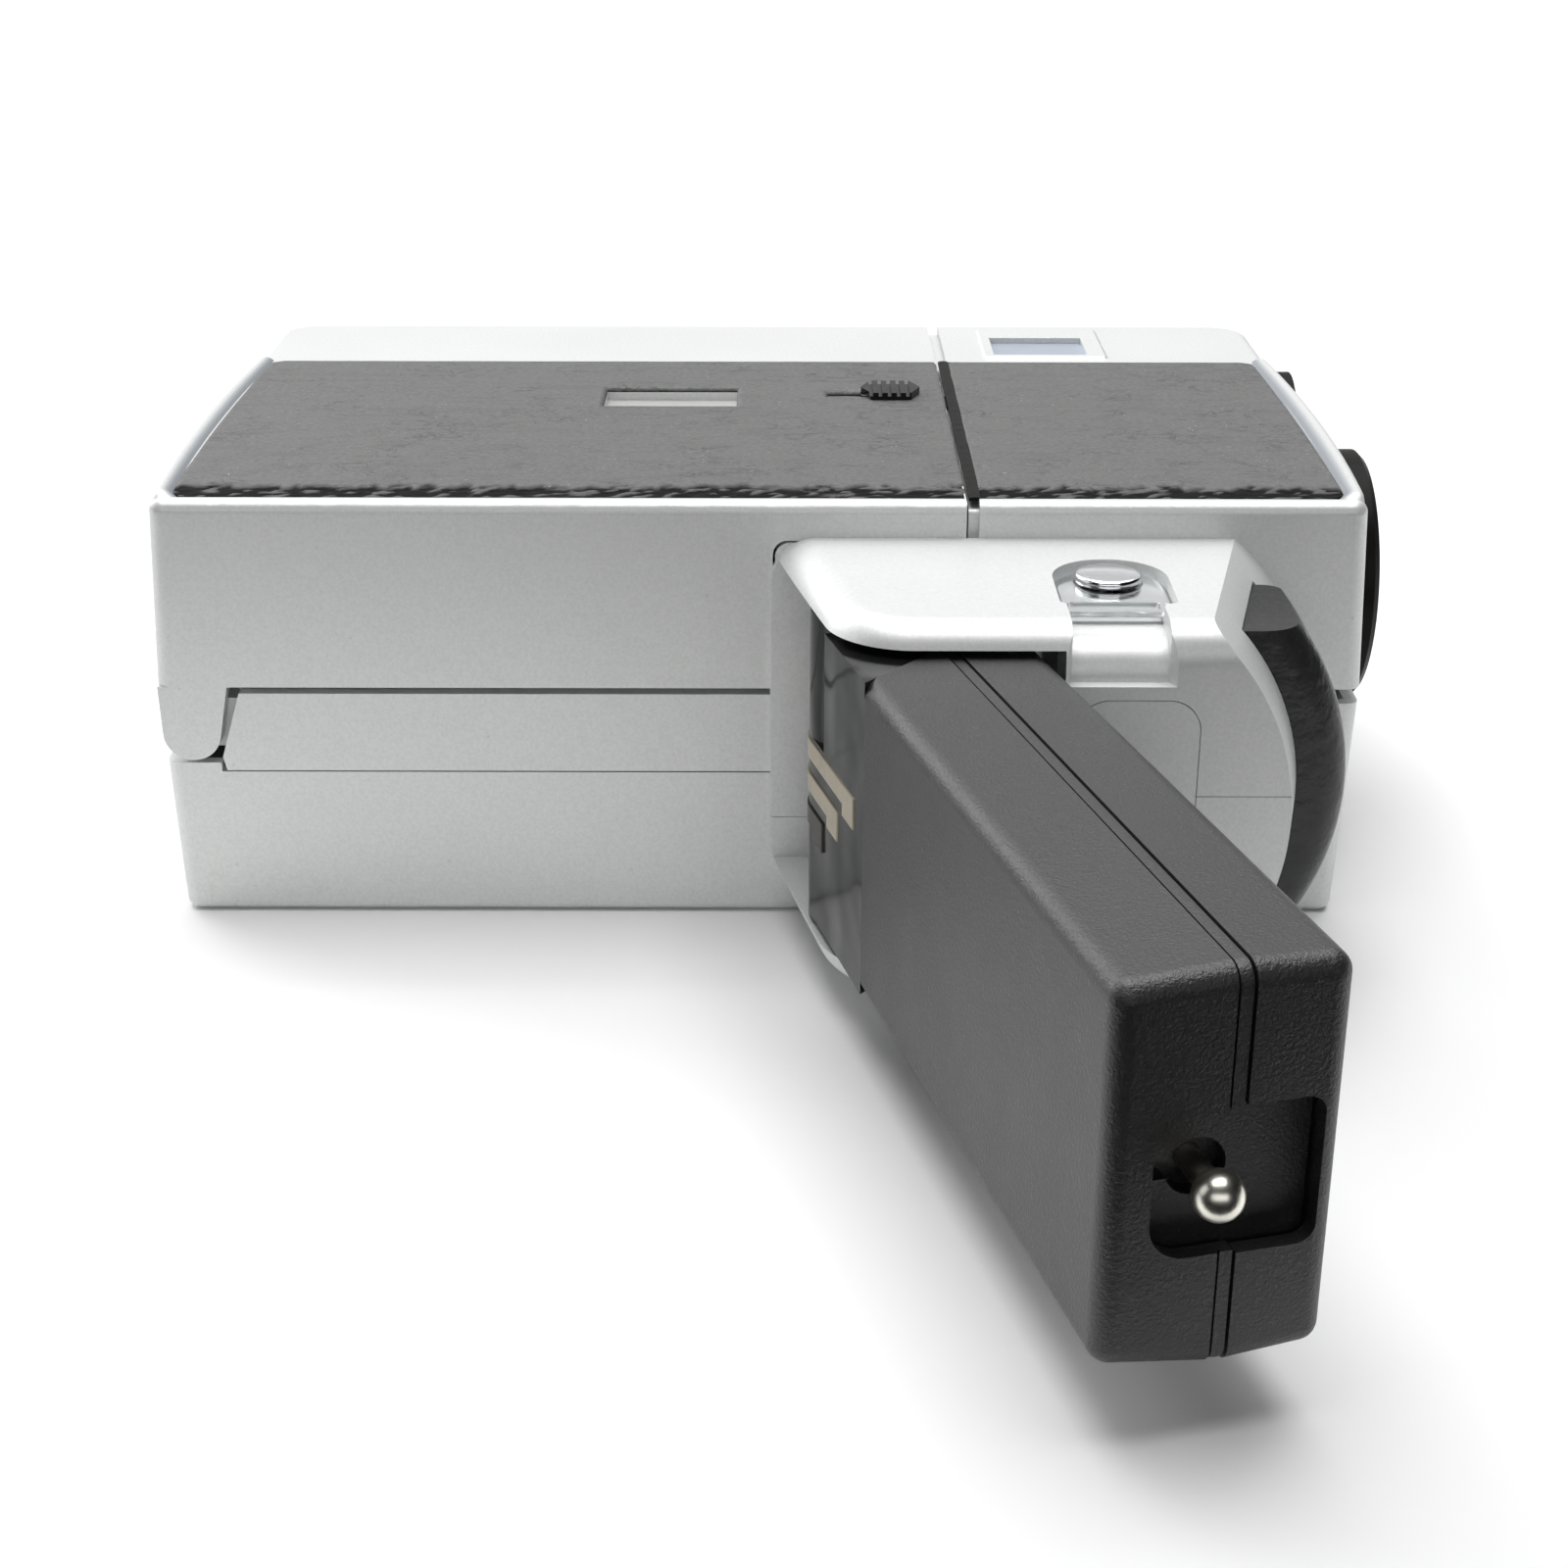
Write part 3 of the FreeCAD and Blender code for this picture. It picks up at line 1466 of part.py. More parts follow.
def shutter_disc():
    """Sector shutter on its shaft, with the hub that carries the gear."""
    x0 = rear + gate_front + chassis_wall + 1.0
    line = shutter_axis()
    disc = rod(shutter_radius, line + Vector(x0, 0, 0), line + Vector(x0 + shutter_thickness, 0, 0))
    window = block(x0 - 1, x0 + 2, line.y - reach, line.y - shutter_web, line.z + shutter_web, line.z + reach)
    shaft = rod(shaft_radius, line + Vector(x0 - 0.4, 0, 0),
                line + Vector(rear + bracket_rear + bracket_thickness + 0.8, 0, 0))
    hub = rod(shutter_hub, line + Vector(x0, 0, 0), line + Vector(gear_start(), 0, 0))
    return fuse([disc.cut(window), hub, shaft])


def drive_bracket():
    """Plate that holds the motor and the shutter shaft, hung from the chassis floor."""
    x0 = rear + bracket_rear
    x1 = x0 + bracket_thickness
    m = motor_axis()
    s = shutter_axis()
    side = motor_radius + bracket_margin
    low = panel_height
    corner = bracket_corner
    outline = [(m.y - side, low, corner), (s.y + side, low, corner), (s.y + bracket_arm, floor_bottom, 0),
               (m.y - side, floor_bottom, 0)]
    boss = [(s.y - side, m.z, 0), (s.y + side, m.z, 0), (s.y + side, s.z + side / 2, corner),
            (s.y - side, s.z + side / 2, corner)]
    foot = block(x0, rear + bulkhead_rear + 1, s.y + bracket_arm - bracket_corner,
                 s.y + bracket_arm + bracket_foot, floor_bottom - bracket_thickness, floor_bottom)
    body = fuse([plate_yz(outline, x0, x1), plate_yz(boss, x0, x1), foot])
    body = body.cut(rod(shaft_radius + running_gap, s + Vector(x0 - 1, 0, 0), s + Vector(x1 + 1, 0, 0)))
    return body.cut(rod(shaft_radius + running_gap, m + Vector(x0 - 1, 0, 0), m + Vector(x1 + 1, 0, 0)))


def motor():
    x0 = rear + bracket_rear + bracket_thickness
    line = motor_axis()
    can = rod(motor_radius, line + Vector(x0, 0, 0), line + Vector(x0 + motor_length, 0, 0))
    bore = rod(shaft_radius + running_gap, line + Vector(x0 - 1, 0, 0),
               line + Vector(motor_shaft_end() + swing_gap, 0, 0))
    return can.cut(bore)


def motor_shaft_end():
    return rear + bracket_rear + bracket_thickness + motor_shaft_depth


def spindle_at():
    return Vector(rear + spindle_x, bottom + spindle_up, 0)


def take_up_spindle():
    """Three-finned spindle that turns the cartridge's core, with its friction disc below."""
    line = spindle_at()
    disc_low = line + Vector(0, 0, floor_bottom - clutch_thickness - clutch_gap)
    shaft = rod(spindle_radius - fin_height, disc_low, line + Vector(0, 0, floor_height + spindle_height))
    disc = rod(clutch_radius, disc_low, line + Vector(0, 0, floor_bottom - clutch_gap))
    fins = []
    for i in range(3):
        fin = block(0, spindle_radius, -0.5, 0.5, floor_height + 0.3, floor_height + spindle_height - 0.5)
        fin.rotate(Vector(0, 0, 0), Vector(0, 0, 1), 120 * i)
        fin.translate(line)
        fins.append(fin)
    return fuse([shaft, disc] + fins)


def spindle_bearing():
    """Bush in the chassis floor that carries the spindle."""
    line = spindle_at()
    return tube(spindle_radius + bush_wall, spindle_radius - fin_height + running_gap,
                line + Vector(0, 0, floor_bottom), line + Vector(0, 0, floor_height))


def all_nodes():
    whole = housing()
    nodes = {
        "left_frame": left_frame(),
        "left_panel": left_panel(),
        "left_leather": left_leather(),
        "panel_screws": panel_screws(),
        "chassis": chassis(),
        "front_cover": front_cover(),
        "front_leather": leather(front_leather_outline()),
        "badge_frame": badge_frame(),
        "badge_field": badge_field(),
        "film_door": film_door(),
        "door_leather": door_leather(),
        "door_window": door_window(),
        "door_hinge_bar": door_hinge_bar(),
        "door_pins": door_pins(),
        "film_spring": film_spring(),
        "latch_guide": latch_guide(),
        "latch_button": latch_button(),
        "latch_bolt": latch_bolt(),
        "film_gate": film_gate(),
        "lens_barrel": lens_barrel(),
        "focus_ring": focus_ring(),
        "lens_front_glass": front_glass(),
        "lens_middle_glass": middle_glass(),
        "lens_rear_glass": rear_glass(),
        "meter_hood": meter_hood(),
        "meter_window": meter_window(),
        "eyepiece": eyepiece(),
        "eyepiece_glass": eyepiece_glass(),
        "finder_tube": finder_tube(),
        "finder_box": finder_box(),
        "housing_right": housing_right(whole),
        "housing_left": housing_left(whole),
        "tripod_plate": tripod_plate(),
        "tripod_socket": tripod_socket(),
        "strap_plate": strap_plate(),
        "lock_button": lock_button(),
        "trigger": trigger(),
        "trigger_switch": trigger_switch(),
        "trigger_springs": trigger_springs(),
        "grip_pin": grip_pin(),
        "hinge_barrel": hinge_barrel(),
        "grip_hinge": grip_hinge(),
        "grip_shell": grip_shell(),
        "grip_end_plate": end_plate(),
        "grip_end_stud": end_stud(),
        "battery_cover": battery_cover(),
        "battery_cell_1": battery_cell(0),
        "battery_cell_2": battery_cell(1),
        "cell_tray": cell_tray(),
        "end_contact": end_contact(),
        "contact_strips": contact_strips(),
        "motor": motor(),
        "motor_pinion": motor_pinion(),
        "shutter_gear": shutter_gear(),
        "shutter_disc": shutter_disc(),
        "drive_bracket": drive_bracket(),
        "take_up_spindle": take_up_spindle(),
        "spindle_bearing": spindle_bearing(),
    }
    return nodes


def door_leather():
    """Leather on the film door, cut out round the window and the latch slot."""
    body = leather(rear_leather_outline())
    return body.cut(window_opening(0)).cut(latch_slot(0))


def main():
    os.makedirs("parts", exist_ok=True)
    for name, shape in all_nodes().items():
        solids = len(shape.Solids)
        print("%-18s solids %d valid %s volume %.1f" % (name, solids, shape.isValid(), shape.Volume))
        shape.exportStep("parts/%s.step" % name)


main()
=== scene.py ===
import json
import math

import bmesh
import bpy
import numpy as np
from bpy.props import FloatProperty, FloatVectorProperty, IntProperty, PointerProperty
from mathutils import Matrix, Vector
from mathutils.geometry import tessellate_polygon


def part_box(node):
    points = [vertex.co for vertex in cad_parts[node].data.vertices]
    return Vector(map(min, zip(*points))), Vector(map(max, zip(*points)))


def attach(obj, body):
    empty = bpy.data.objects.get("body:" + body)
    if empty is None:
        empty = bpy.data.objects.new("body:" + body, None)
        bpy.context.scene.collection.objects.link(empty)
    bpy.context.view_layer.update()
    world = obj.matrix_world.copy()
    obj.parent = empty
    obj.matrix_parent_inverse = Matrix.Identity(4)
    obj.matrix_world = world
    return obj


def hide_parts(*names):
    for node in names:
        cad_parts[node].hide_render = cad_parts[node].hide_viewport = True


bl_info = {
    "name": "Movie Camera",
    "version": (1, 0, 0),
    "blender": (4, 5, 0),
    "location": "3D View > Sidebar > Movie Camera",
    "description": "Finishes and fine pieces for a movie camera with a folding grip",
    "category": "Object",
}

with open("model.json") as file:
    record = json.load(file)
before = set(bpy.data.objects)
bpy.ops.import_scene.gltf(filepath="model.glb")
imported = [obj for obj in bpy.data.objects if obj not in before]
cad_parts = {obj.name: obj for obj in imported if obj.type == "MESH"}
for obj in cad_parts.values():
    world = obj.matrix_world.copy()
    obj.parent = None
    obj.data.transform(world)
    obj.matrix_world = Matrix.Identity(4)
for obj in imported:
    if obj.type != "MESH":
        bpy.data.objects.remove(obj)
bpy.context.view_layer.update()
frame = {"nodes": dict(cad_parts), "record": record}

MM = 0.001
PREFIX = "finish_"  # keeps a finish apart from the plain material that came with the frame
LIP_FOOT = 1.2 * MM  # how far the rim's lips start below the leather's lower edge
# Each soft panel: degrees round from straight behind, degrees up, then distance, width and
# height in metres, and brightness.
PANELS = {
    "top": (0, 88, 1.9, 1.5, 1.3, 5.0),
    "back_high": (0, 60, 2.0, 2.6, 0.9, 2.5),
    "back_middle": (0, 34, 2.0, 3.6, 1.0, 0.62),
    "back_low": (8, 11, 2.2, 4.8, 0.8, 0.42),
    "left": (-80, 25, 2.2, 2.2, 1.5, 0.85),
    "left_rear": (-45, 25, 2.6, 1.6, 1.6, 3.2),
    "front": (180, 22, 2.2, 2.8, 0.9, 1.15),
}


# Properties

def length(name, text, millimetres):
    return FloatProperty(name=name, description=text, default=millimetres * MM, unit="LENGTH")


def angle(name, text, degrees):
    return FloatProperty(name=name, description=text, default=math.radians(degrees),
                         unit="ROTATION")


def share(name, text, value):
    return FloatProperty(name=name, description=text, default=value, min=0.0, subtype="FACTOR")


def colour(name, thing, red, green, blue):
    return FloatVectorProperty(name=name, description="Colour of " + thing, size=3, min=0.0,
                               max=1.0, default=(red, green, blue), subtype="COLOR")


class StageSettings(bpy.types.PropertyGroup):
    camera_place: FloatVectorProperty(
        name="Camera place", description="Where the viewer's eye stands",
        default=(3.233 * MM, -366.413 * MM, 155.720 * MM), size=3, unit="LENGTH")
    pitch: angle("Pitch", "How far the view looks down", 23.358)
    roll: angle("Roll", "Turn of the view about its own line", 0.125)
    yaw: angle("Yaw", "Turn of the view to the right", 0.039)
    focal_length: FloatProperty(name="Focal length", description="Focal length on a 36 mm sensor",
                                default=57.673, unit="CAMERA")
    floor_width: length("Floor width", "Width of the plain floor", 9000.0)
    floor_lit: length("Lit floor", "How far the floor sends light back on the viewer's side", 190.0)
    floor_tint: colour("Floor", "the plain floor", 0.93, 0.935, 0.93)
    brightness: share("Brightness", "Brightness of all the soft panels together", 1.0)


class PaintSettings(bpy.types.PropertyGroup):
    silver: colour("Silver", "the satin silver paint", 0.765, 0.775, 0.77)
    silver_dark: colour("Silver fleck", "the darker flecks in the paint", 0.63, 0.64, 0.635)
    smudge: colour("Smudge", "the handling marks at the corners", 0.36, 0.345, 0.31)
    # painted shade: the colour that darkens the inner slope of the rim's lips
    groove: colour("Groove", "the inner slope of the rim's lips", 0.31, 0.33, 0.355)
    fleck: length("Fleck", "Size of the flecks in the paint", 0.45)
    roughness: share("Roughness", "Roughness of the silver paint", 0.44)
    inner: colour("Inner paint", "the inner parts' matt paint", 0.035, 0.035, 0.036)


class LeatherSettings(bpy.types.PropertyGroup):
    tint: colour("Leatherette", "the leatherette", 0.052, 0.052, 0.052)
    worn: colour("Worn leatherette", "the leatherette's worn grain", 0.135, 0.135, 0.133)
    # painted shade: colour of the dark, matt shader that stands in for the shade in the creases
    deep: colour("Creases", "the creases", 0.008, 0.008, 0.008)
    speck: colour("Specks", "the tiny specks of lint", 0.62, 0.62, 0.60)
    pitch: length("Grid pitch", "Distance between the points of the leather's surface", 0.42)
    roll: length("Rolled edge", "Radius of the leather's rolled edge", 0.5)
    proud: length("Proud", "How far the leather stands over the metal", 0.08)
    corner: length("Corner", "Radius of the leather's outer corners", 3.0)
    seam_corner: length("Seam corner", "Radius of the leather's corners at the seam", 1.6)
    wrinkle: length("Wrinkle", "Depth of the fine wrinkles", 0.05)
    crease: length("Crease", "Depth of the folds along the lower edge", 0.34)
    crease_band: length("Crease band", "Width of the folded band along the lower edge", 7.5)
    bow: length("Bow", "How far the ends of the leather and its rim bow outwards", 1.5)
    bow_middle: length("Bow middle", "Place along Y where the ends reach furthest", -12.0)
    bow_half: length("Bow half", "Half the length of the bowed ends", 38.0)
    lip_width: length("Lip width", "Width of the rounded lip at the leather's ends", 2.95)
    lip_height: length("Lip height", "Height of that lip's cross-section", 3.0)
    rear_swell: length("Rear swell", "How much wider the rear lip is in its middle", 0.5)
    front_swell: length("Front swell", "How much wider the front lip is in its middle", 1.0)
    lip_lean: share("Lip lean", "How far the lip's crest leans outwards", 0.55)
    lip_rise: length("Lip rise", "How far the lip stands over the leather", 0.55)
    lip_out: length("Lip place", "How far the lip's middle lies beyond the leather's recess", 1.58)
    seam_reach: length("Seam reach", "How far the front leather reaches over its cover's edge", 0.2)
    seam_line: length("Seam line", "Width of the dark line at the seam", 1.6)
    seam_waver: length("Seam waver", "How far the leather's edge wavers at the seam", 0.22)


class PlasticSettings(bpy.types.PropertyGroup):
    grip: colour("Grip", "the grip's fine textured plastic", 0.012, 0.012, 0.012)
    grip_grain: length("Grip grain", "Size of the grain on the grip", 0.42)
    gloss: colour("Gloss", "the glossy black plastic", 0.006, 0.006, 0.0065)
    satin: colour("Trigger", "the trigger's satin plastic", 0.012, 0.012, 0.013)
    ring: colour("Enamel", "the smooth black enamel", 0.005, 0.005, 0.0045)
    white: colour("White plastic", "the gears and the spindle", 0.72, 0.71, 0.66)


class MetalSettings(bpy.types.PropertyGroup):
    chrome: colour("Chrome", "the polished plate and button", 0.84, 0.86, 0.87)
    plate_bevel: length("Plate bevel", "Width of the strap plate's bevelled rim", 0.55)
    button_back: length("Button place", "How far behind its hole the lock button's cap sits", 2.1)
    steel: colour("Steel", "the bare steel", 0.50, 0.50, 0.51)
    brass: colour("Contact metal", "the pale brass", 0.68, 0.60, 0.48)
    # plain dark colour of the lowest contact strip, below about 25.2 mm along Z
    tarnish: colour("Tarnish", "the blackened third contact strip", 0.05, 0.045, 0.04)
    badge: colour("Badge", "the badge's bare field", 0.50, 0.56, 0.64)
    nickel: colour("Nickel", "the ball stud's plating", 0.92, 0.89, 0.80)
    pane: colour("Pane", "what shows through the film window", 0.55, 0.55, 0.54)
    glass: colour("Glass", "the coated glass", 0.02, 0.024, 0.03)
    wrap: colour("Cell wrap", "the cells' wrap", 0.02, 0.035, 0.08)
    wrap_pale: colour("Pale wrap", "the paler clouds in that wrap", 0.03, 0.05, 0.11)
    spring_turns: IntProperty(name="Spring turns", description="Turns of each trigger spring",
                              default=7, min=2)
    spring_wire: length("Spring wire", "Diameter of the trigger springs' wire", 0.6)


class CameraSettings(bpy.types.PropertyGroup):
    stage: PointerProperty(type=StageSettings)
    paint: PointerProperty(type=PaintSettings)
    leather: PointerProperty(type=LeatherSettings)
    plastic: PointerProperty(type=PlasticSettings)
    metal: PointerProperty(type=MetalSettings)


def settings():
    return bpy.context.scene.movie_camera


# Shader expressions

class Wire:
    """A shader socket that takes part in sums and products with numbers and other wires."""

    def __init__(self, finish, socket):
        self.finish = finish
        self.socket = socket

    def math(self, operation, *values):
        inputs = dict(enumerate((self, *values)))
        return self.finish.node("ShaderNodeMath", {"operation": operation}, inputs)

    def __add__(self, other):
        return self.math("ADD", other)

    __radd__ = __add__

    def __sub__(self, other):
        return self.math("SUBTRACT", other)

    def __rsub__(self, other):
        return self.math("MULTIPLY", -1.0) + other

    def __mul__(self, other):
        return self.math("MULTIPLY", other)

    __rmul__ = __mul__

    def above(self, low, high):
        """0 under low, 1 over high and a straight ramp between them."""
        return self.finish.node("ShaderNodeMapRange", {}, {
            "Value": self, "From Min": low, "From Max": high, "To Min": 0.0, "To Max": 1.0})


class Finish:
    """One material and the few ways of adding nodes to it."""

    def __init__(self, name):
        self.material = bpy.data.materials.new(PREFIX + name)
        self.material.use_nodes = True
        self.tree = self.material.node_tree
        self.tree.nodes.clear()
        self.place = self.node("ShaderNodeTexCoord", {}, {}, "Object")

    def node(self, kind, options, inputs, output=0):
        """Adds one node: its options first, then a value or a wire for each named input."""
        made = self.tree.nodes.new(kind)
        for name, value in options.items():
            setattr(made, name, value)
        for name, value in inputs.items():
            if isinstance(value, Wire):
                self.tree.links.new(value.socket, made.inputs[name])
            else:
                made.inputs[name].default_value = value
        return Wire(self, made.outputs[output])

    def noise(self, size, detail=2.0, roughness=0.5, place=None, distortion=0.0):
        """Noise from 0 to 1 with spots of a size in metres."""
        return self.node("ShaderNodeTexNoise", {}, {
            "Vector": place or self.place, "Scale": 1.0 / size, "Detail": detail,
            "Roughness": roughness, "Distortion": distortion}, "Fac")

    def brushed(self, x, y, z, detail=3.0):
        """Noise drawn out into lines, with so many of them to the metre along X, Y and Z."""
        return self.noise(1.0, detail, 0.6, self.stretched(x, y, z))

    def stretched(self, x, y, z):
        """Object coordinates scaled by three factors."""
        return self.node("ShaderNodeMapping", {"vector_type": "POINT"}, {
            "Vector": self.place, "Scale": (x, y, z)}, "Vector")

    def along(self, axis):
        """The place along X, Y or Z in metres."""
        return self.node("ShaderNodeSeparateXYZ", {}, {"Vector": self.place}, axis)

    def depth(self):
        """The share of painted shade written into the surface, 0 where none was written."""
        return self.node("ShaderNodeAttribute", {"attribute_name": "depth"}, {}, "Fac")

    def mix(self, share_wire, first, second):
        """Colour between two colours, each a wire or three numbers."""
        ends = [value if isinstance(value, Wire) else (*value, 1.0) for value in (first, second)]
        return self.node("ShaderNodeMix", {"data_type": "RGBA"},
                         {0: share_wire, 6: ends[0], 7: ends[1]}, 2)

    def shade(self, share_wire, base, factor):
        """Colour between a base colour and the same colour times a factor."""
        return self.mix(share_wire, base, [factor * value for value in base])

    def bump(self, height, depth, strength=1.0):
        return self.node("ShaderNodeBump", {}, {
            "Height": height, "Distance": depth, "Strength": strength}, "Normal")

    def lines(self, size, width, place):
        """Thin wandering lines, 1 along the places where a noise passes its middle."""
        wander = self.noise(size, 4.0, 0.6, place, 0.7)
        return 1 - (wander - 0.5).math("ABSOLUTE").above(width * 0.3, width)

    def shader(self, **inputs):
        """A Principled shader; names have _ for a space."""
        named = {name.replace("_", " "): value for name, value in inputs.items()}
        return self.node("ShaderNodeBsdfPrincipled", {}, named, "BSDF")

    def end(self, shader):
        made = self.tree.nodes.new("ShaderNodeOutputMaterial")
        self.tree.links.new(shader.socket, made.inputs["Surface"])
        return self.material

    def surface(self, **inputs):
        return self.end(self.shader(**inputs))


# Finishes: each gets its new material and the settings of its group

def silver_paint(f, own):
    """Satin silver lacquer: fine metal flecks, a faint cloudy sheen, handling marks at the low
    rear corner, tiny specks, and painted shade on the inner slope of the rim's lips."""
    flecks = f.noise(own.fleck, 3.0, 0.6).above(0.35, 0.72)
    cloud = f.noise(18 * MM, 3.0, 0.6)
    tone = f.mix(flecks * 0.55, own.silver, own.silver_dark)
    low = 1 - f.along("Z").above(1.5 * MM, 9 * MM)
    rear = 1 - f.along("X").above(-79 * MM, -58 * MM)
    marks = f.noise(2.2 * MM, 4.0, 0.7).above(0.56, 0.72) * low * rear
    tone = f.mix(marks * 0.55, tone, own.smudge)
    specks = f.noise(0.9 * MM, 1.0, 0.5).above(0.80, 0.83)
    tone = f.mix(specks * 0.25, tone, own.smudge)
    # painted shade: the stored share darkens the paint on the lips' inner slope
    tone = f.mix(f.depth(), tone, own.groove)
    rough = cloud * 0.08 + flecks * 0.05 + (own.roughness - 0.06)
    normal = f.bump(f.noise(0.35 * MM, 2.0), 0.012 * MM)
    return f.surface(Base_Color=tone, Roughness=rough, Metallic=0.35, Normal=normal)


def inner_paint(f, own):
    """Matt black paint with a fine orange-peel surface."""
    grain = f.noise(0.5 * MM, 2.0)
    return f.surface(Base_Color=f.shade(grain, own.inner, 2.0), Roughness=grain * 0.2 + 0.55,
                     Normal=f.bump(grain, 0.03 * MM))


def leatherette(f, own):
    """Fine grained leatherette with sparse thin wrinkles and specks of lint. The surface carries
    its own share of painted shade in the creases, where the satin finish gives way to a dark,
    matt shader; the wrinkles get a little painted shade too."""
    wrinkled = f.noise(9 * MM, 2.0).above(0.45, 0.62)
    wrinkles = f.lines(4.5 * MM, 0.030, f.stretched(0.8, 1.5, 1.0)) * wrinkled
    streaks = f.noise(0.62 * MM, 3.0, 0.65, f.stretched(0.75, 1.4, 1.0))
    pores = f.noise(0.24 * MM, 2.0, 0.6)
    dusty = f.noise(7 * MM, 2.0).above(0.5, 0.7)
    specks = f.noise(0.42 * MM, 0.0).above(0.80, 0.83) * dusty
    tone = f.mix((pores * 0.4 + streaks * 0.6).above(0.35, 0.65), own.tint, own.worn)
    tone = f.mix(specks * 0.7, tone, own.speck)
    height = pores * 0.4 + streaks * 0.7 - wrinkles * 0.5
    normal = f.bump(height, 0.08 * MM)
    satin = f.shader(Base_Color=tone, Roughness=0.52 + pores * 0.12, Specular_IOR_Level=0.9,
                     Normal=normal)
    # painted shade: a dark, matt shader that the creases and wrinkles blend towards
    painted_shade = f.shader(Base_Color=(*own.deep, 1.0), Roughness=0.85, Specular_IOR_Level=0.12,
                    Normal=normal)
    painted_shade_share = (f.depth() + wrinkles * 0.26).math("MINIMUM", 1.0)
    return f.end(f.node("ShaderNodeMixShader", {}, {0: painted_shade_share, 1: satin, 2: painted_shade}))


def black_texture(f, own):
    """Spark-textured black plastic: a fine pebbled grain that glints, with faint rubbed patches."""
    grain = f.noise(own.grip_grain, 2.0, 0.75)
    patch = f.noise(9 * MM, 3.0, 0.6).above(0.4, 0.75)
    glint = grain.above(0.60, 0.78)
    return f.surface(Base_Color=f.shade(glint, own.grip, 4.0),
                     Roughness=0.46 - patch * 0.04 - glint * 0.14,
                     Normal=f.bump(grain, 0.13 * MM), Specular_IOR_Level=0.85)


def black_gloss(f, own):
    """Moulded gloss plastic with the slow waves of a sink-marked surface."""
    waves = f.noise(11 * MM, 1.0, 0.4)
    fine = f.noise(0.8 * MM, 2.0)
    dust = f.noise(0.35 * MM, 1.0).above(0.74, 0.8)
    return f.surface(Base_Color=f.shade(dust * 0.25, own.gloss, 14.0),
                     Roughness=fine * 0.06 + 0.12, Normal=f.bump(waves, 1.4 * MM, 0.6),
                     Specular_IOR_Level=0.3)


def black_ring(f, own):
    """Smooth black enamel, also the dark cord in the seam."""
    fine = f.noise(0.6 * MM, 2.0)
    return f.surface(Base_Color=f.shade(fine, own.ring, 1.8), Roughness=fine * 0.08 + 0.34,
                     Normal=f.bump(fine, 0.01 * MM), Specular_IOR_Level=0.08)


def chrome(f, own):
    """Bright plating, a little hazy, with a few hairline scratches."""
    hair = f.brushed(300.0, 4200.0, 900.0, 2.0).above(0.62, 0.7)
    haze = f.noise(1.6 * MM, 3.0, 0.6)
    return f.surface(Base_Color=f.shade(hair * 0.2, own.chrome, 0.7), Metallic=1.0,
                     Roughness=hair * 0.12 + haze * 0.10 + 0.12)


def steel(f, own):
    """Brushed steel: long fine lines."""
    lines = f.brushed(250.0, 5000.0, 5000.0)
    tone = f.mix(lines, [0.75 * v for v in own.steel], [1.2 * v for v in own.steel])
    return f.surface(Base_Color=tone, Metallic=1.0, Roughness=lines * 0.2 + 0.22,
                     Normal=f.bump(lines, 0.01 * MM))


def brass(f, own):
    """Pale satin brass, a little tarnished in patches; the lowest contact strip is darker."""
    lines = f.brushed(400.0, 2600.0, 2600.0)
    tarnish = f.noise(2.5 * MM, 3.0, 0.6).above(0.5, 0.8)
    # the strips below about 25.2 mm along Z take that dark colour
    darkened = 1 - f.along("Z").above(25.2 * MM, 25.7 * MM)
    tone = f.shade(tarnish * 0.4, own.brass, 0.6)
    tone = f.mix(darkened * 0.93, tone, own.tarnish)
    return f.surface(Base_Color=tone, Metallic=1.0, Roughness=lines * 0.18 + 0.24)


def glass(f, own):
    """Dark coated glass, read as a glossy surface over a dark room."""
    cloud = f.noise(6 * MM, 2.0)
    return f.surface(Base_Color=f.shade(cloud, own.glass, 2.2), Roughness=cloud * 0.03 + 0.04,
                     Coat_Weight=1.0, Coat_Roughness=0.02)


def nickel(f, own):
    """Pale warm plating of the ball stud, hazed in spots."""
    haze = f.noise(1.1 * MM, 3.0, 0.6)
    spots = haze.above(0.45, 0.75) * 0.3
    return f.surface(Base_Color=f.shade(spots, own.nickel, 0.75), Metallic=1.0,
                     Roughness=haze * 0.12 + 0.24)


def pane(f, own):
    """Clear pane over the pale label of the film inside: faint mottling under a glossy surface."""
    mottle = f.noise(1.4 * MM, 3.0, 0.6)
    return f.surface(Base_Color=f.shade(mottle, own.pane, 0.8), Roughness=mottle * 0.1 + 0.3,
                     Coat_Weight=0.4, Coat_Roughness=0.05)


def satin_black(f, own):
    """Satin moulded plastic of the trigger, rubbed in soft patches."""
    rubbed = f.noise(6 * MM, 3.0, 0.6)
    fine = f.noise(0.5 * MM, 2.0)
    return f.surface(Base_Color=f.shade(rubbed, own.satin, 1.8),
                     Roughness=fine * 0.06 + rubbed * 0.12 + 0.26,
                     Normal=f.bump(rubbed * 0.8 + fine * 0.1, 0.5 * MM), Specular_IOR_Level=0.45)


def badge(f, own):
    """Bare blue-grey field, satin and faintly brushed."""
    lines = f.brushed(200.0, 3500.0, 900.0)
    tone = f.mix(lines, [0.8 * v for v in own.badge], [1.1 * v for v in own.badge])
    return f.surface(Base_Color=tone, Metallic=0.5, Roughness=lines * 0.2 + 0.3)


def cell_wrap(f, own):
    """Plain dark wrap of the two cells."""
    cloud = f.noise(5 * MM, 2.0)
    return f.surface(Base_Color=f.mix(cloud, own.wrap, own.wrap_pale),
                     Roughness=cloud * 0.1 + 0.25)


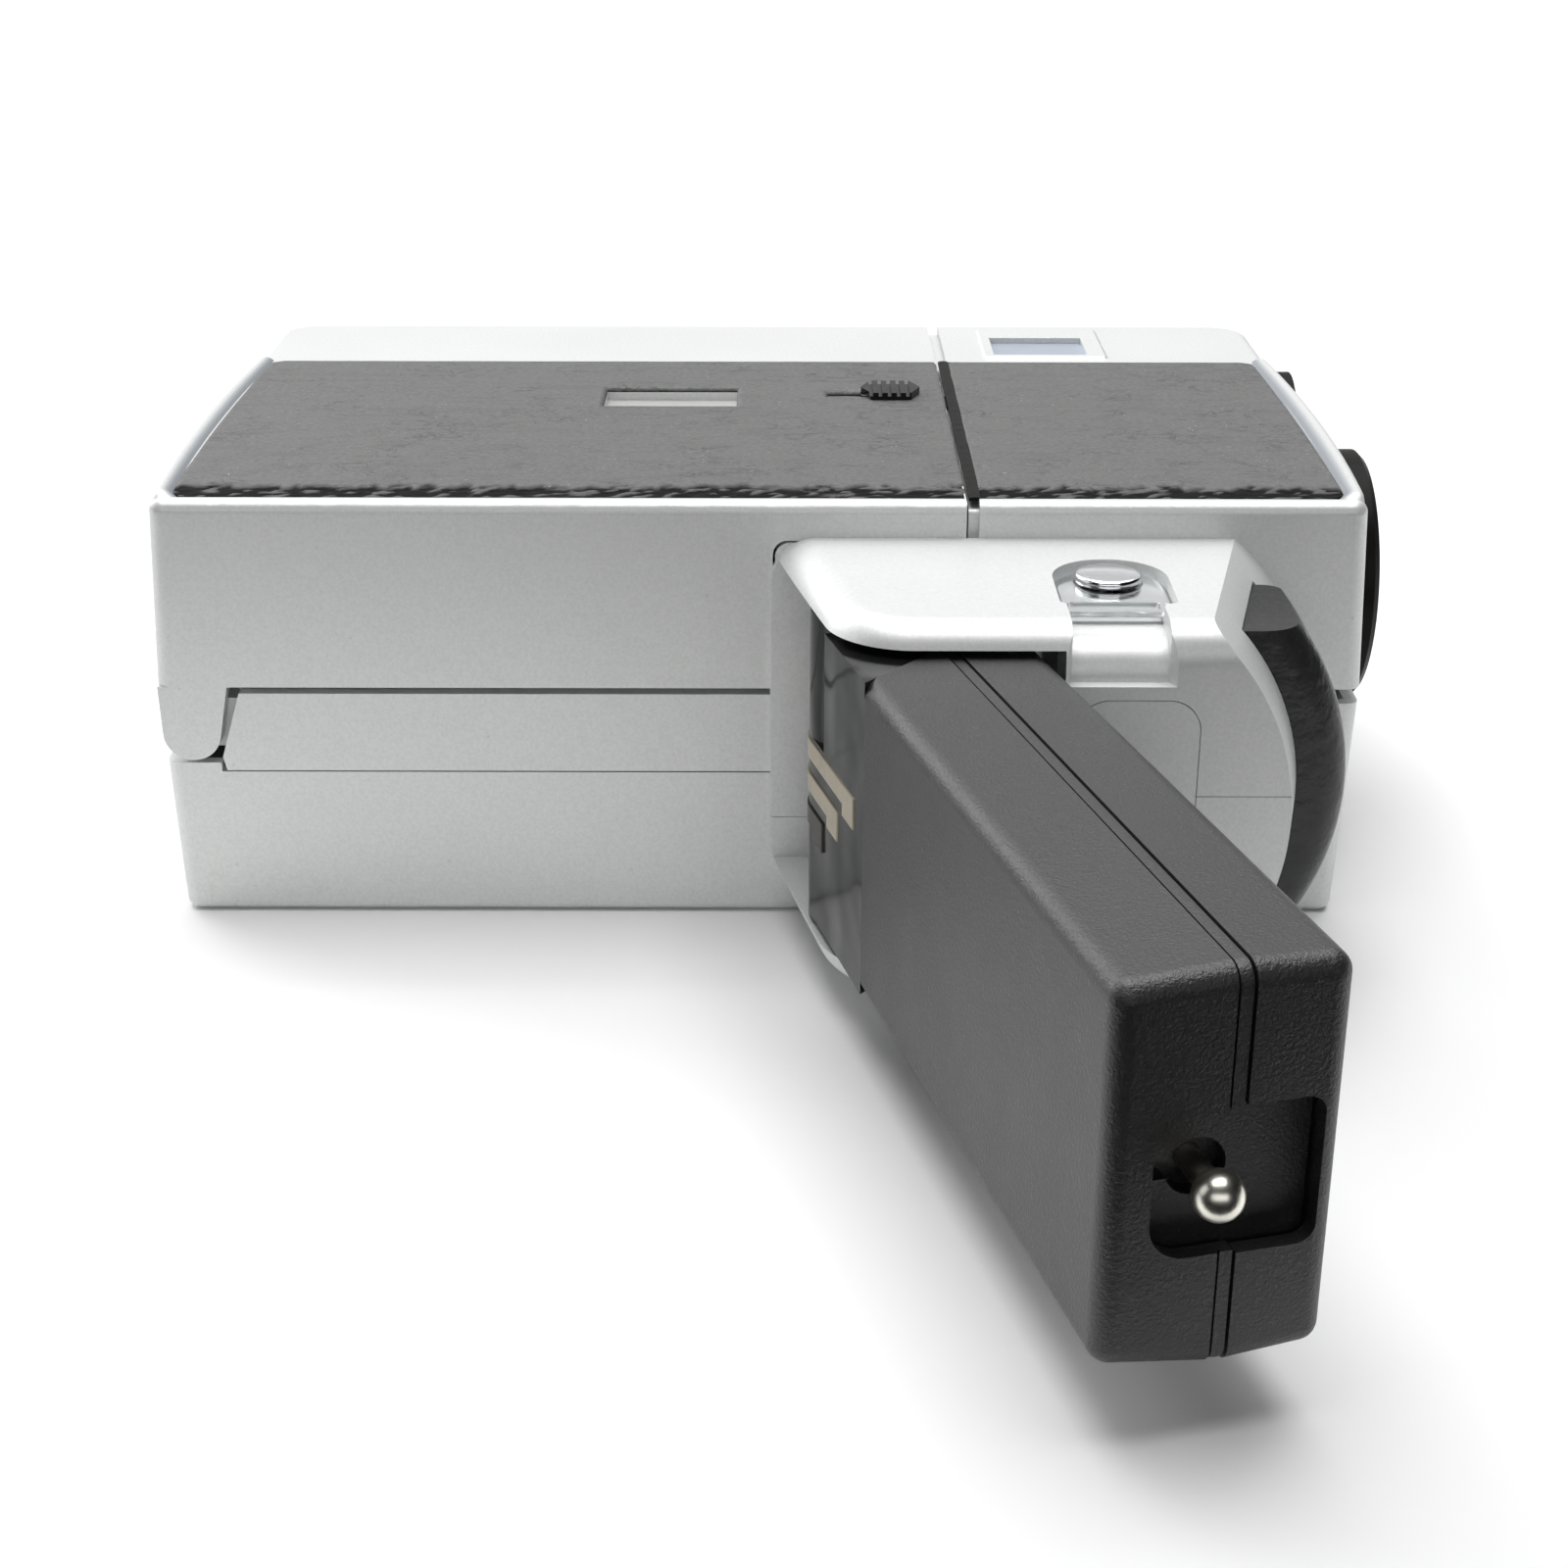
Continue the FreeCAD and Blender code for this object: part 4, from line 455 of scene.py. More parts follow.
def white_plastic(f, own):
    """Ivory moulded plastic of the gears."""
    cloud = f.noise(2 * MM, 2.0)
    return f.surface(Base_Color=f.shade(cloud, own.white, 0.88), Roughness=cloud * 0.1 + 0.35)


FINISHES = {look.__name__: (look, group) for group, looks in {
    "paint": (silver_paint, inner_paint),
    "leather": (leatherette,),
    "plastic": (black_texture, black_gloss, black_ring, satin_black, white_plastic),
    "metal": (chrome, steel, brass, glass, nickel, pane, badge, cell_wrap),
}.items() for look in looks}


def finish(name):
    """The material of that name, made when it is first asked for."""
    made = bpy.data.materials.get(PREFIX + name)
    if made is None:
        look, group = FINISHES[name]
        made = look(Finish(name), getattr(settings(), group))
    return made


def slot_of(node):
    """The material slot that the record gives a CAD node."""
    for row in frame["record"]["subparts"]:
        if row["node"] == node:
            return row["material_slot"]
    raise RuntimeError("the record has no row for " + node)


def dress(*nodes, look=None):
    """Gives CAD nodes the finish of their own slot, or another look that stands for that slot."""
    for node in nodes:
        mesh = frame["nodes"][node].data
        mesh.materials.clear()
        mesh.materials.append(finish(look or slot_of(node)))


# Surfaces

def grid_quads(rows, columns, close_columns=False):
    """Corner numbers of the quads between neighbouring rows and columns of a grid."""
    j = np.arange(columns if close_columns else columns - 1)
    i, j = np.meshgrid(np.arange(rows - 1), j, indexing="ij")
    beside = (j + 1) % columns
    corners = [i * columns + j, (i + 1) * columns + j, (i + 1) * columns + beside,
               i * columns + beside]
    return np.stack(corners, -1).reshape(-1, 4)


def make_piece(name, points, faces, body, slot, replaced=(), smooth=True):
    """Puts arrays of points and faces into a mesh that rides on a body and stands for CAD nodes."""
    mesh = bpy.data.meshes.new(name)
    mesh.from_pydata(points.tolist(), [], faces if isinstance(faces, list) else faces.tolist())
    mesh.polygons.foreach_set("use_smooth", np.full(len(mesh.polygons), smooth))
    mesh.materials.append(finish(slot))
    solid = bmesh.new()
    solid.from_mesh(mesh)
    bmesh.ops.recalc_face_normals(solid, faces=solid.faces)
    solid.to_mesh(mesh)
    solid.free()
    piece = bpy.data.objects.new(name, mesh)
    bpy.context.scene.collection.objects.link(piece)
    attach(piece, body)
    if replaced:
        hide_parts(*replaced)
    return piece


def lattice_noise(x, y, pitch_x, pitch_y, seed):
    """Smooth noise from 0 to 1: random heights on a lattice, joined by the curve 3t^2 - 2t^3."""
    count = 128
    table = np.random.default_rng(seed).random((count, count))
    u = x / pitch_x
    v = y / pitch_y
    i = np.floor(u).astype(int)
    j = np.floor(v).astype(int)
    s = (u - i) ** 2 * (3 - 2 * (u - i))
    t = (v - j) ** 2 * (3 - 2 * (v - j))
    i0, i1, j0, j1 = i % count, (i + 1) % count, j % count, (j + 1) % count
    low = table[i0, j0] * (1 - s) + table[i1, j0] * s
    high = table[i0, j1] * (1 - s) + table[i1, j1] * s
    return low * (1 - t) + high * t


def folds(value, sharpness):
    """Thin lines where a noise value passes its middle: 1 on the line, falling off to 0."""
    return (1 - np.abs(2 * value - 1)) ** sharpness


def spaced(stops, pitch, edge, close=None):
    """Grid lines through all stops, a pitch apart, or half of it up to the place close, with two
    extra lines near each end."""
    lines = []
    for a, b in zip(stops[:-1], stops[1:]):
        step = pitch / 2 if close is not None and b <= close + edge * 0.01 else pitch
        lines.append(np.linspace(a, b, max(int(round((b - a) / step)), 1) + 1)[:-1])
    steps = [edge * 0.12, edge * 0.4]
    near = [stops[0] + step for step in steps] + [stops[-1] - step for step in steps]
    return np.unique(np.concatenate(lines + [[stops[-1]], near]))


def corner_pull(y, y0, y1, low, high):
    """How far a side with rounded corners draws in at height y: r - sqrt(r^2 - t^2) at each end."""
    pull = np.zeros_like(y)
    for t, radius in ((y0 + low - y, low), (y - (y1 - high), high)):
        inside = np.clip(t, 0, radius)
        pull = pull + radius - np.sqrt(radius ** 2 - inside ** 2)
    return pull


def bow_pull(y):
    """How far a bowed end draws in at height y: bow t^2, with t 0 in the bow's middle and 1 at
    half its length from there."""
    own = settings().leather
    return own.bow * ((y - own.bow_middle) / own.bow_half) ** 2


def swell(y, low, amount):
    """How much wider a lip grows inwards: amount (1 - t^2), and a rounded corner at its low end."""
    own = settings().leather
    corner_width = 0.6 * own.corner
    middle = np.clip(1 - ((y - own.bow_middle) / own.bow_half) ** 2, 0, 1)
    corner = np.clip(1 - (y - low) / own.corner, 0, 1) ** 2
    return amount * middle + corner_width * corner


def seam_pull(y):
    """A slow waver of the leather's cut edge at the seam."""
    return settings().leather.seam_waver * lattice_noise(y, y * 0, 4 * MM, 1.0, 61)


def leather_skin(name, outline, corners, ends, holes, body, node, top, low):
    """Closed skin over a rectangle with rounded corners, two shaped ends and square holes. Its
    upper sheet is top - roll at the edges - wrinkles - folds along the lower edge, and its lower
    sheet is flat. A shaped end draws in the grid lines within a reach of it."""
    own = settings().leather
    reach = 8 * MM
    steeper = 1.6  # how much more steeply the leather rolls down at a hole
    x0, x1, y0, y1 = outline
    rear_low, front_low, front_high, rear_high = corners
    stops_x = sorted({x0, x1, *[h[0] for h in holes], *[h[1] for h in holes]})
    stops_y = sorted({y0, y1, y0 + own.crease_band, *[h[2] for h in holes], *[h[3] for h in holes]})
    lines_x = spaced(stops_x, own.pitch, own.roll)
    lines_y = spaced(stops_y, own.pitch * 1.2, own.roll, y0 + own.crease_band)
    x, y = np.meshgrid(lines_x, lines_y, indexing="ij")
    left_pull = corner_pull(y, y0, y1, rear_low, rear_high) + ends[0](y)
    right_pull = corner_pull(y, y0, y1, front_low, front_high) + ends[1](y)
    left_share = np.clip(1 - (x - x0) / reach, 0, 1)
    right_share = np.clip(1 - (x1 - x) / reach, 0, 1)
    place_x = x + left_pull * left_share - right_pull * right_share
    edge = np.minimum.reduce([place_x - x0 - left_pull, x1 - right_pull - place_x, y - y0,
                              y1 - y])
    for a0, a1, b0, b1 in holes:
        off_x = np.maximum(np.maximum(a0 - x, x - a1), 0)
        off_y = np.maximum(np.maximum(b0 - y, y - b1), 0)
        edge = np.minimum(edge, np.hypot(off_x, off_y) * steeper)
    inside = np.clip(own.roll - edge, 0, own.roll)
    rolled = own.roll - np.sqrt(own.roll ** 2 - inside ** 2)
    # depth here is the share of painted shade in the creases
    height, depth = leather_height(place_x, y, y - y0, own)
    z = top - rolled - height * np.clip(edge / own.roll, 0, 1)
    keep = np.ones((len(lines_x) - 1, len(lines_y) - 1), bool)
    middle_x = (lines_x[1:] + lines_x[:-1]) / 2
    middle_y = (lines_y[1:] + lines_y[:-1]) / 2
    for a0, a1, b0, b1 in holes:
        keep &= ~np.outer((middle_x > a0) & (middle_x < a1), (middle_y > b0) & (middle_y < b1))
    return slab(name, place_x, y, z, low, keep, depth, body, "leatherette", [node])


def slab(name, x, y, z, low, keep, depth, body, slot, replaced=()):
    """Closed slab between an upper sheet of points and a flat lower one, of the kept cells."""
    sheets = [np.stack([x, y, level], -1).reshape(-1, 3) for level in (z, np.full_like(z, low))]
    quads = grid_quads(*z.shape)[keep.reshape(-1)]
    faces = np.concatenate([quads, quads[:, ::-1] + z.size, skin_walls(keep, z.shape[1], z.size)])
    used, faces = np.unique(faces, return_inverse=True)
    points = np.concatenate(sheets)[used]
    piece = make_piece(name, points, faces.reshape(-1, 4), body, slot, replaced)
    # painted shade: the stored share, full on the lower sheet
    store_depth(piece, np.concatenate([depth.reshape(-1), np.ones(z.size)])[used])
    return piece


def leather_height(x, y, from_edge, own):
    """Depth under the crest, and a share of painted shade from 0 to 1: slow waves and wrinkles all
    over, and along the lower edge a crumpled band with a ragged upper border and small raised
    glints. The painted shade darkens the band, is lifted at the glints, and falls faintly along
    the long wrinkle lines."""
    warp = lattice_noise(x, y, 9 * MM, 5 * MM, 3) * 3 * MM
    long_lines = folds(lattice_noise(x + warp, y + 0.3 * warp, 7 * MM, 1.6 * MM, 5), 8)
    slow = lattice_noise(x, y, 14 * MM, 9 * MM, 11)
    fine = lattice_noise(x, y, 1.3 * MM, 1.1 * MM, 21)
    plain = own.wrinkle * (0.7 * long_lines + 1.2 * slow + 0.5 * fine)
    ragged = 0.50 + 0.30 * lattice_noise(x, y * 0, 1.7 * MM, 1.0, 33)
    ragged = ragged + 0.26 * lattice_noise(x, y * 0, 0.8 * MM, 1.0, 35)
    inside = np.clip(1 - from_edge / (own.crease_band * ragged), 0, 1)
    band = np.clip(inside * 3.0, 0, 1)
    fold = folds(lattice_noise(x + from_edge, from_edge - 0.25 * x, 2.1 * MM, 0.9 * MM, 41), 2)
    ridge = lattice_noise(x - 0.8 * from_edge, from_edge, 1.3 * MM, 0.8 * MM, 43)
    glint = np.clip((ridge - 0.60) * 5, 0, 1)
    crumple = own.crease * (band * (0.35 + 0.65 * fold) * (1 - 0.7 * glint) + 0.35 * inside)
    # painted shade over the crumpled band, lifted at the glints, faint along the long wrinkle lines
    painted_shade = np.clip(band * 1.1 * (1 - 0.75 * glint) + 0.10 * long_lines, 0, 1)
    return plain + crumple, painted_shade


def rim_lip(name, side, middle, y0, y1, top, body, widening):
    """Rounded lip outside the leather's bowed end: an ellipse that leans outwards, so that its
    crest lies near the outside, carried along x = middle - bow t^2 and sinking into the rim at
    both ends. Its inner slope carries painted shade."""
    own = settings().leather
    stations, points_round = 140, 24
    fade = 2.5 * MM
    deepest = own.lip_height * 0.55
    y = np.linspace(y0, y1, stations)
    around = np.linspace(0, 2 * math.pi, points_round, endpoint=False)
    to_end = np.clip(np.minimum(y - y0, y1 - y) / fade, 0, 1)
    sink = deepest * (1 - to_end) ** 2
    centre_x = middle - bow_pull(y)
    lean = own.lip_lean
    across = (np.cos(around) + lean * np.sin(around)) / math.hypot(1, lean)
    more = swell(y, y0 + LIP_FOOT, widening)[:, None]
    x = side * (centre_x[:, None] - more / 2 + (own.lip_width + more) / 2 * across)
    z = top - own.lip_height / 2 - sink[:, None] + own.lip_height / 2 * np.sin(around)
    points = np.stack([x, np.broadcast_to(y[:, None], x.shape), z], -1).reshape(-1, 3)
    quads = grid_quads(*x.shape, close_columns=True).tolist()
    last = (stations - 1) * points_round
    caps = [list(range(points_round)), list(range(last, last + points_round))]
    piece = make_piece(name, points, quads + caps, body, "silver_paint")
    # painted shade, strongest on the lip's inner slope
    shade = np.clip((-0.18 - np.cos(around)) / 0.5, 0, 1)
    store_depth(piece, np.broadcast_to(shade, x.shape).reshape(-1))
    return piece


def store_depth(piece, values):
    """Writes a share of painted shade from 0 to 1 at each point, which the finishes read."""
    layer = piece.data.attributes.new("depth", "FLOAT", "POINT")
    layer.data.foreach_set("value", values.astype(np.float32))


def seam_line(x0, width, y0, y1, base):
    """Dark cord along the seam: a low ridge, base + rise sqrt(1 - u^2), whose height wavers."""
    rise, wavering, sunk = 0.16 * MM, 0.05 * MM, 0.3 * MM
    u = np.linspace(-1, 1, 9)
    y = np.linspace(y0, y1, 240)
    keep = np.ones((len(u) - 1, len(y) - 1), bool)
    x, y = np.meshgrid(x0 + width * (u + 1) / 2, y, indexing="ij")
    waver = lattice_noise(x, y, 2 * MM, 1.5 * MM, 71)
    z = base + rise * np.sqrt(np.clip(1 - u[:, None] ** 2, 0, 1)) + wavering * waver
    return slab("seam_cord", x, y, z, base - sunk, keep, np.ones_like(z), "camera", "black_ring")


def rounded_box(x0, x1, y0, y1, radii):
    """Outline of a rectangle with rounded corners, anticlockwise from the low corner."""
    steps = 8
    centres = [(x0, y0, 1, 1, math.pi), (x1, y0, -1, 1, 1.5 * math.pi), (x1, y1, -1, -1, 0.0),
               (x0, y1, 1, -1, 0.5 * math.pi)]
    arcs = []
    for (x, y, to_x, to_y, start), radius in zip(centres, radii):
        turn = start + np.linspace(0, math.pi / 2, max(int(steps * (1 + radius / MM)), 4))
        arcs.append(np.stack([x + to_x * radius + radius * np.cos(turn),
                              y + to_y * radius + radius * np.sin(turn)], -1))
    return np.concatenate(arcs)


def circle(x, y, radius):
    """Outline of a round hole, anticlockwise."""
    turn = np.linspace(0, 2 * math.pi, 48, endpoint=False)
    return np.stack([x + radius * np.cos(turn), y + radius * np.sin(turn)], -1)


def inset(outline, amount):
    """The outline moved inwards along its normals."""
    along = np.roll(outline, -1, 0) - np.roll(outline, 1, 0)
    along = along / np.linalg.norm(along, axis=1)[:, None]
    return outline - amount * np.stack([along[:, 1], -along[:, 0]], -1)


def bevelled_plate(name, outline, holes, top, bottom, bevel, body, slot, replaced):
    """Flat plate with holes: flat top and bottom, a slanted rim of the bevel's width at the top,
    and a tenth of it round each hole."""
    loops = [(outline, bevel)] + [(hole, -bevel * 0.1) for hole in holes]
    levels = [[(inset(loop, move), top) for loop, move in loops],
              [(loop, top - abs(move)) for loop, move in loops],
              [(loop, bottom) for loop, move in loops]]
    rings = [[np.column_stack([ring, np.full(len(ring), z)]) for ring, z in level]
             for level in levels]
    flat = [np.concatenate(level) for level in rings]
    count = len(flat[0])
    faces = []
    start = 0
    for loop, move in loops:
        here = np.arange(len(loop)) + start
        beyond = np.roll(here, -1)
        for level in (0, 1):
            upper, lower = level * count, (level + 1) * count
            faces += np.stack([here + upper, beyond + upper, beyond + lower, here + lower],
                              -1).tolist()
        start += len(loop)
    for level in (0, 2):
        caps = tessellate_polygon([[Vector(point) for point in ring] for ring in rings[level]])
        faces += [[corner + level * count for corner in cap] for cap in caps]
    return make_piece(name, np.concatenate(flat), faces, body, slot, replaced, smooth=False)


def turned(name, profile, x, y, body, slot, replaced=()):
    """Surface of revolution about the upright line through x, y, closed at both poles; its
    profile is pairs of radius and height."""
    count = 64
    profile = np.array(profile)
    turn = np.linspace(0, 2 * math.pi, count, endpoint=False)
    rings = np.stack([x + profile[:, :1] * np.cos(turn), y + profile[:, :1] * np.sin(turn),
                      np.repeat(profile[:, 1:], count, 1)], -1).reshape(-1, 3)
    quads = grid_quads(len(profile), count, close_columns=True).tolist()
    poles = [[x, y, profile[0, 1]], [x, y, profile[-1, 1]]]
    fans = []
    for pole, first in ((len(rings), 0), (len(rings) + 1, len(rings) - count)):
        ring = np.arange(count) + first
        fans += np.stack([np.full(count, pole), ring, np.roll(ring, -1)], -1).tolist()
    return make_piece(name, np.concatenate([rings, poles]), quads + fans, body, slot, replaced)


def skin_walls(keep, columns, lower):
    """Quads that join the two sheets along every edge with a kept cell on one side only."""
    padded = np.pad(keep, 1)
    walls = []
    for axis, step in ((0, -1), (0, 1), (1, -1), (1, 1)):
        beyond = np.roll(padded, -step, axis)[1:-1, 1:-1]
        i, j = np.nonzero(keep & ~beyond)
        if axis == 0:
            row = i + (step > 0)
            a, b = row * columns + j, row * columns + j + 1
            ends = (b, a) if step > 0 else (a, b)
        else:
            column = j + (step > 0)
            a, b = i * columns + column, (i + 1) * columns + column
            ends = (a, b) if step > 0 else (b, a)
        walls.append(np.stack([ends[0], ends[1], ends[1] + lower, ends[0] + lower], -1))
    return np.concatenate(walls)


def coil(name, start, end, radius, wire, turns, body, slot, replaced=()):
    """Spring wire: a circle carried along the helix (r cos t, r sin t, length t / turns)."""
    steps_per_turn, around = 24, 8
    steps = int(turns * steps_per_turn)
    t = np.linspace(0, 2 * math.pi * turns, steps)
    axis = np.array(end) - np.array(start)
    span = np.linalg.norm(axis)
    axis = axis / span
    side = np.cross(axis, [0, 0, 1.0])
    side = side / np.linalg.norm(side)
    up = np.cross(axis, side)
    ring = np.outer(np.cos(t), side) + np.outer(np.sin(t), up)
    ends = (t / t[-1])[:, None]
    centre = np.array(start) + ring * radius + axis * (wire / 2 + ends * (span - wire))
    phase = np.linspace(0, 2 * math.pi, around, endpoint=False)
    tube = (centre[:, None, :] + wire / 2 * (np.cos(phase)[None, :, None] * ring[:, None, :]
                                             + np.sin(phase)[None, :, None] * axis))
    quads = grid_quads(steps, around, close_columns=True)
    caps = [list(range(around))[::-1], list(range((steps - 1) * around, steps * around))]
    return make_piece(name, tube.reshape(-1, 3), quads.tolist() + caps, body, slot, replaced)


# Operators

class PieceOperator:
    """What all the operators share."""
    bl_options = {"REGISTER", "UNDO"}


class MOVIECAMERA_OT_stage(PieceOperator, bpy.types.Operator):
    """Plain floor, soft panels of light and the camera at the photographed view"""
    bl_idname = "movie_camera.stage"
    bl_label = "Stage"

    def execute(self, context):
        own = settings().stage
        f = Finish("floor")
        tone = f.shade(f.noise(0.4, 1.0), own.floor_tint, 0.99)
        paper = f.surface(Base_Color=tone, Roughness=0.9, Specular_IOR_Level=0.1)
        half = own.floor_width / 2
        self.sheet(context, "floor", -own.floor_lit, half, half, paper)
        near = self.sheet(context, "floor_near", -half, -own.floor_lit, half, paper)
        near.visible_diffuse = False
        near.visible_glossy = False
        self.light(context, own)
        self.camera(context, own)
        return {"FINISHED"}

    def sheet(self, context, name, y0, y1, half, material):
        """Flat stretch of floor between two places along Y."""
        count = 9
        x, y = np.meshgrid(np.linspace(-half, half, count), np.linspace(y0, y1, count),
                           indexing="ij")
        points = np.stack([x, y, np.zeros_like(x)], -1).reshape(-1, 3)
        mesh = bpy.data.meshes.new(name)
        mesh.from_pydata(points.tolist(), [], grid_quads(count, count).tolist())
        mesh.materials.append(material)
        floor = bpy.data.objects.new(name, mesh)
        context.scene.collection.objects.link(floor)
        return floor

    def light(self, context, own):
        """A dark room with all the soft panels, each looking at the middle of the floor."""
        world = bpy.data.worlds.new("studio")
        world.use_nodes = True
        world.node_tree.nodes["Background"].inputs["Strength"].default_value = 0.0
        context.scene.world = world
        for name, (turn, elevation, distance, *size, brightness) in PANELS.items():
            across, over = math.radians(turn), math.radians(elevation)
            away = Vector((math.sin(across) * math.cos(over), math.cos(across) * math.cos(over),
                           math.sin(over)))
            self.panel(context, name, away * distance, away, *size, brightness * own.brightness)

    def panel(self, context, name, place, away, width, height, brightness):
        """A soft rectangle of light that looks against the direction away; its power follows its
        area."""
        lamp = bpy.data.lights.new(name, "AREA")
        lamp.shape = "RECTANGLE"
        lamp.size = width
        lamp.size_y = height
        lamp.energy = math.pi * width * height * brightness
        made = bpy.data.objects.new(name, lamp)
        made.location = place
        made.rotation_euler = away.to_track_quat("Z", "Y").to_euler()
        made.visible_camera = False
        context.scene.collection.objects.link(made)

    def camera(self, context, own):
        """The viewpoint of the photograph, from its place, its three angles and its lens."""
        level = math.cos(own.pitch)
        forward = Vector((math.sin(own.yaw) * level, math.cos(own.yaw) * level,
                          -math.sin(own.pitch)))
        right = Vector((math.cos(own.yaw), -math.sin(own.yaw), 0.0))
        up = right.cross(forward)
        turned_right = right * math.cos(own.roll) + up * math.sin(own.roll)
        turned_up = up * math.cos(own.roll) - right * math.sin(own.roll)
        data = bpy.data.cameras.new("viewpoint")
        data.sensor_width = 36.0
        data.lens = own.focal_length
        data.clip_start = 0.01
        data.clip_end = 50.0
        viewpoint = bpy.data.objects.new("viewpoint", data)
        turn = Matrix((turned_right, turned_up, -forward)).transposed().to_4x4()
        viewpoint.matrix_world = Matrix.Translation(own.camera_place) @ turn
        context.scene.collection.objects.link(viewpoint)
        context.scene.camera = viewpoint
        context.scene.view_settings.view_transform = "Standard"


class MOVIECAMERA_OT_covers(PieceOperator, bpy.types.Operator):
    """Painted covers, chassis strip and hinge of the case"""
    bl_idname = "movie_camera.covers"
    bl_label = "Covers"

    def execute(self, context):
        dress("left_frame", "left_panel", "panel_screws", "chassis", "front_cover", "film_door",
              "door_hinge_bar", "door_pins")
        return {"FINISHED"}


class MOVIECAMERA_OT_leathers(PieceOperator, bpy.types.Operator):
    """Wrinkled leatherette on the film door, the front cover and the left side"""
    bl_idname = "movie_camera.leathers"
    bl_label = "Leathers"

    def execute(self, context):
        own = settings().leather
        pane_low, pane_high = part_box("door_window")
        button_low, button_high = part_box("latch_button")
        ledge = 1.2 * MM
        travel = 5.0 * MM
        slot_half = 1.5 * MM
        slot_spare = 1.0 * MM
        slot_end = button_low.x + (button_high.x - button_low.x) / 2 + slot_spare
        slot_y = (button_low.y + button_high.y) / 2
        holes = [(pane_low.x + ledge, pane_high.x - ledge, pane_low.y + ledge,
                  pane_high.y - ledge),
                 (button_low.x - travel, slot_end, slot_y - slot_half, slot_y + slot_half)]
        lip_head = 2.2 * MM  # how far the lips reach over the leather's upper edge
        tuck = 0.8 * MM  # how far the leather's ends reach under the lips
        over_seam = 0.5 * MM
        cord_covered, cord_sunk = 0.3 * MM, 0.1 * MM
        overlap = own.lip_out - own.lip_width / 2 + tuck

        low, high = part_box("door_leather")
        top = high.z + own.proud
        leather_skin("door_leather_skin", (low.x - overlap, high.x + over_seam, low.y, high.y),
                     (own.corner / 2, own.seam_corner / 2, own.seam_corner, own.corner),
                     (lambda y: bow_pull(y) + swell(y, low.y, own.rear_swell), seam_pull),
                     holes, "door", "door_leather", top, low.z)
        rim_lip("rear_rim_lip", -1.0, own.lip_out - low.x, low.y - LIP_FOOT, high.y + lip_head,
                top + own.lip_rise, "door", own.rear_swell)

        low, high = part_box("front_leather")
        seam = low.x - own.seam_reach
        leather_skin("front_leather_skin", (seam, high.x + overlap, low.y, high.y),
                     (own.seam_corner / 2, own.corner * 0.8, own.corner, own.seam_corner),
                     (seam_pull, lambda y: bow_pull(y) + swell(y, low.y, own.front_swell)),
                     [], "camera", "front_leather", top, low.z)
        rim_lip("front_rim_lip", 1.0, own.lip_out + high.x, low.y - LIP_FOOT,
                high.y + lip_head, top + own.lip_rise, "camera", own.front_swell)
        seam_line(seam - own.seam_line + cord_covered, own.seam_line, low.y, high.y,
                  high.z - cord_sunk)
        dress("left_leather")
        return {"FINISHED"}


class MOVIECAMERA_OT_door_fittings(PieceOperator, bpy.types.Operator):
    """Film window, latch and film spring on the door"""
    bl_idname = "movie_camera.door_fittings"
    bl_label = "Door fittings"

    def execute(self, context):
        dress("film_spring", "latch_guide", "latch_button", "latch_bolt")
        dress("door_window", look="pane")
        return {"FINISHED"}


class MOVIECAMERA_OT_badge(PieceOperator, bpy.types.Operator):
    """Bare badge on the front cover"""
    bl_idname = "movie_camera.badge"
    bl_label = "Badge"

    def execute(self, context):
        dress("badge_field")
        low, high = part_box("badge_frame")
        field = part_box("badge_field")[1].z
        corner, opening_corner = 0.6 * MM, 0.3 * MM
        proud, bevel = 0.3 * MM, 0.5 * MM
        rear, front, below, above = 1.9 * MM, 3.2 * MM, 1.3 * MM, 6.8 * MM
        outline = rounded_box(low.x, high.x, low.y, high.y, [corner] * 4)
        opening = rounded_box(low.x + rear, high.x - front, low.y + below, high.y - above,
                              [opening_corner] * 4)
        bevelled_plate("badge_frame_bevelled", outline, [opening], high.z + proud, field, bevel,
                       "camera", "silver_paint", ["badge_frame"])
        return {"FINISHED"}


class MOVIECAMERA_OT_lens(PieceOperator, bpy.types.Operator):
    """Lens, light meter window and viewfinder"""
    bl_idname = "movie_camera.lens"
    bl_label = "Lens and finder"

    def execute(self, context):
        dress("lens_barrel", "focus_ring", "lens_front_glass", "lens_middle_glass",
              "lens_rear_glass", "meter_hood", "meter_window", "eyepiece", "eyepiece_glass",
              "finder_tube", "finder_box")
        return {"FINISHED"}


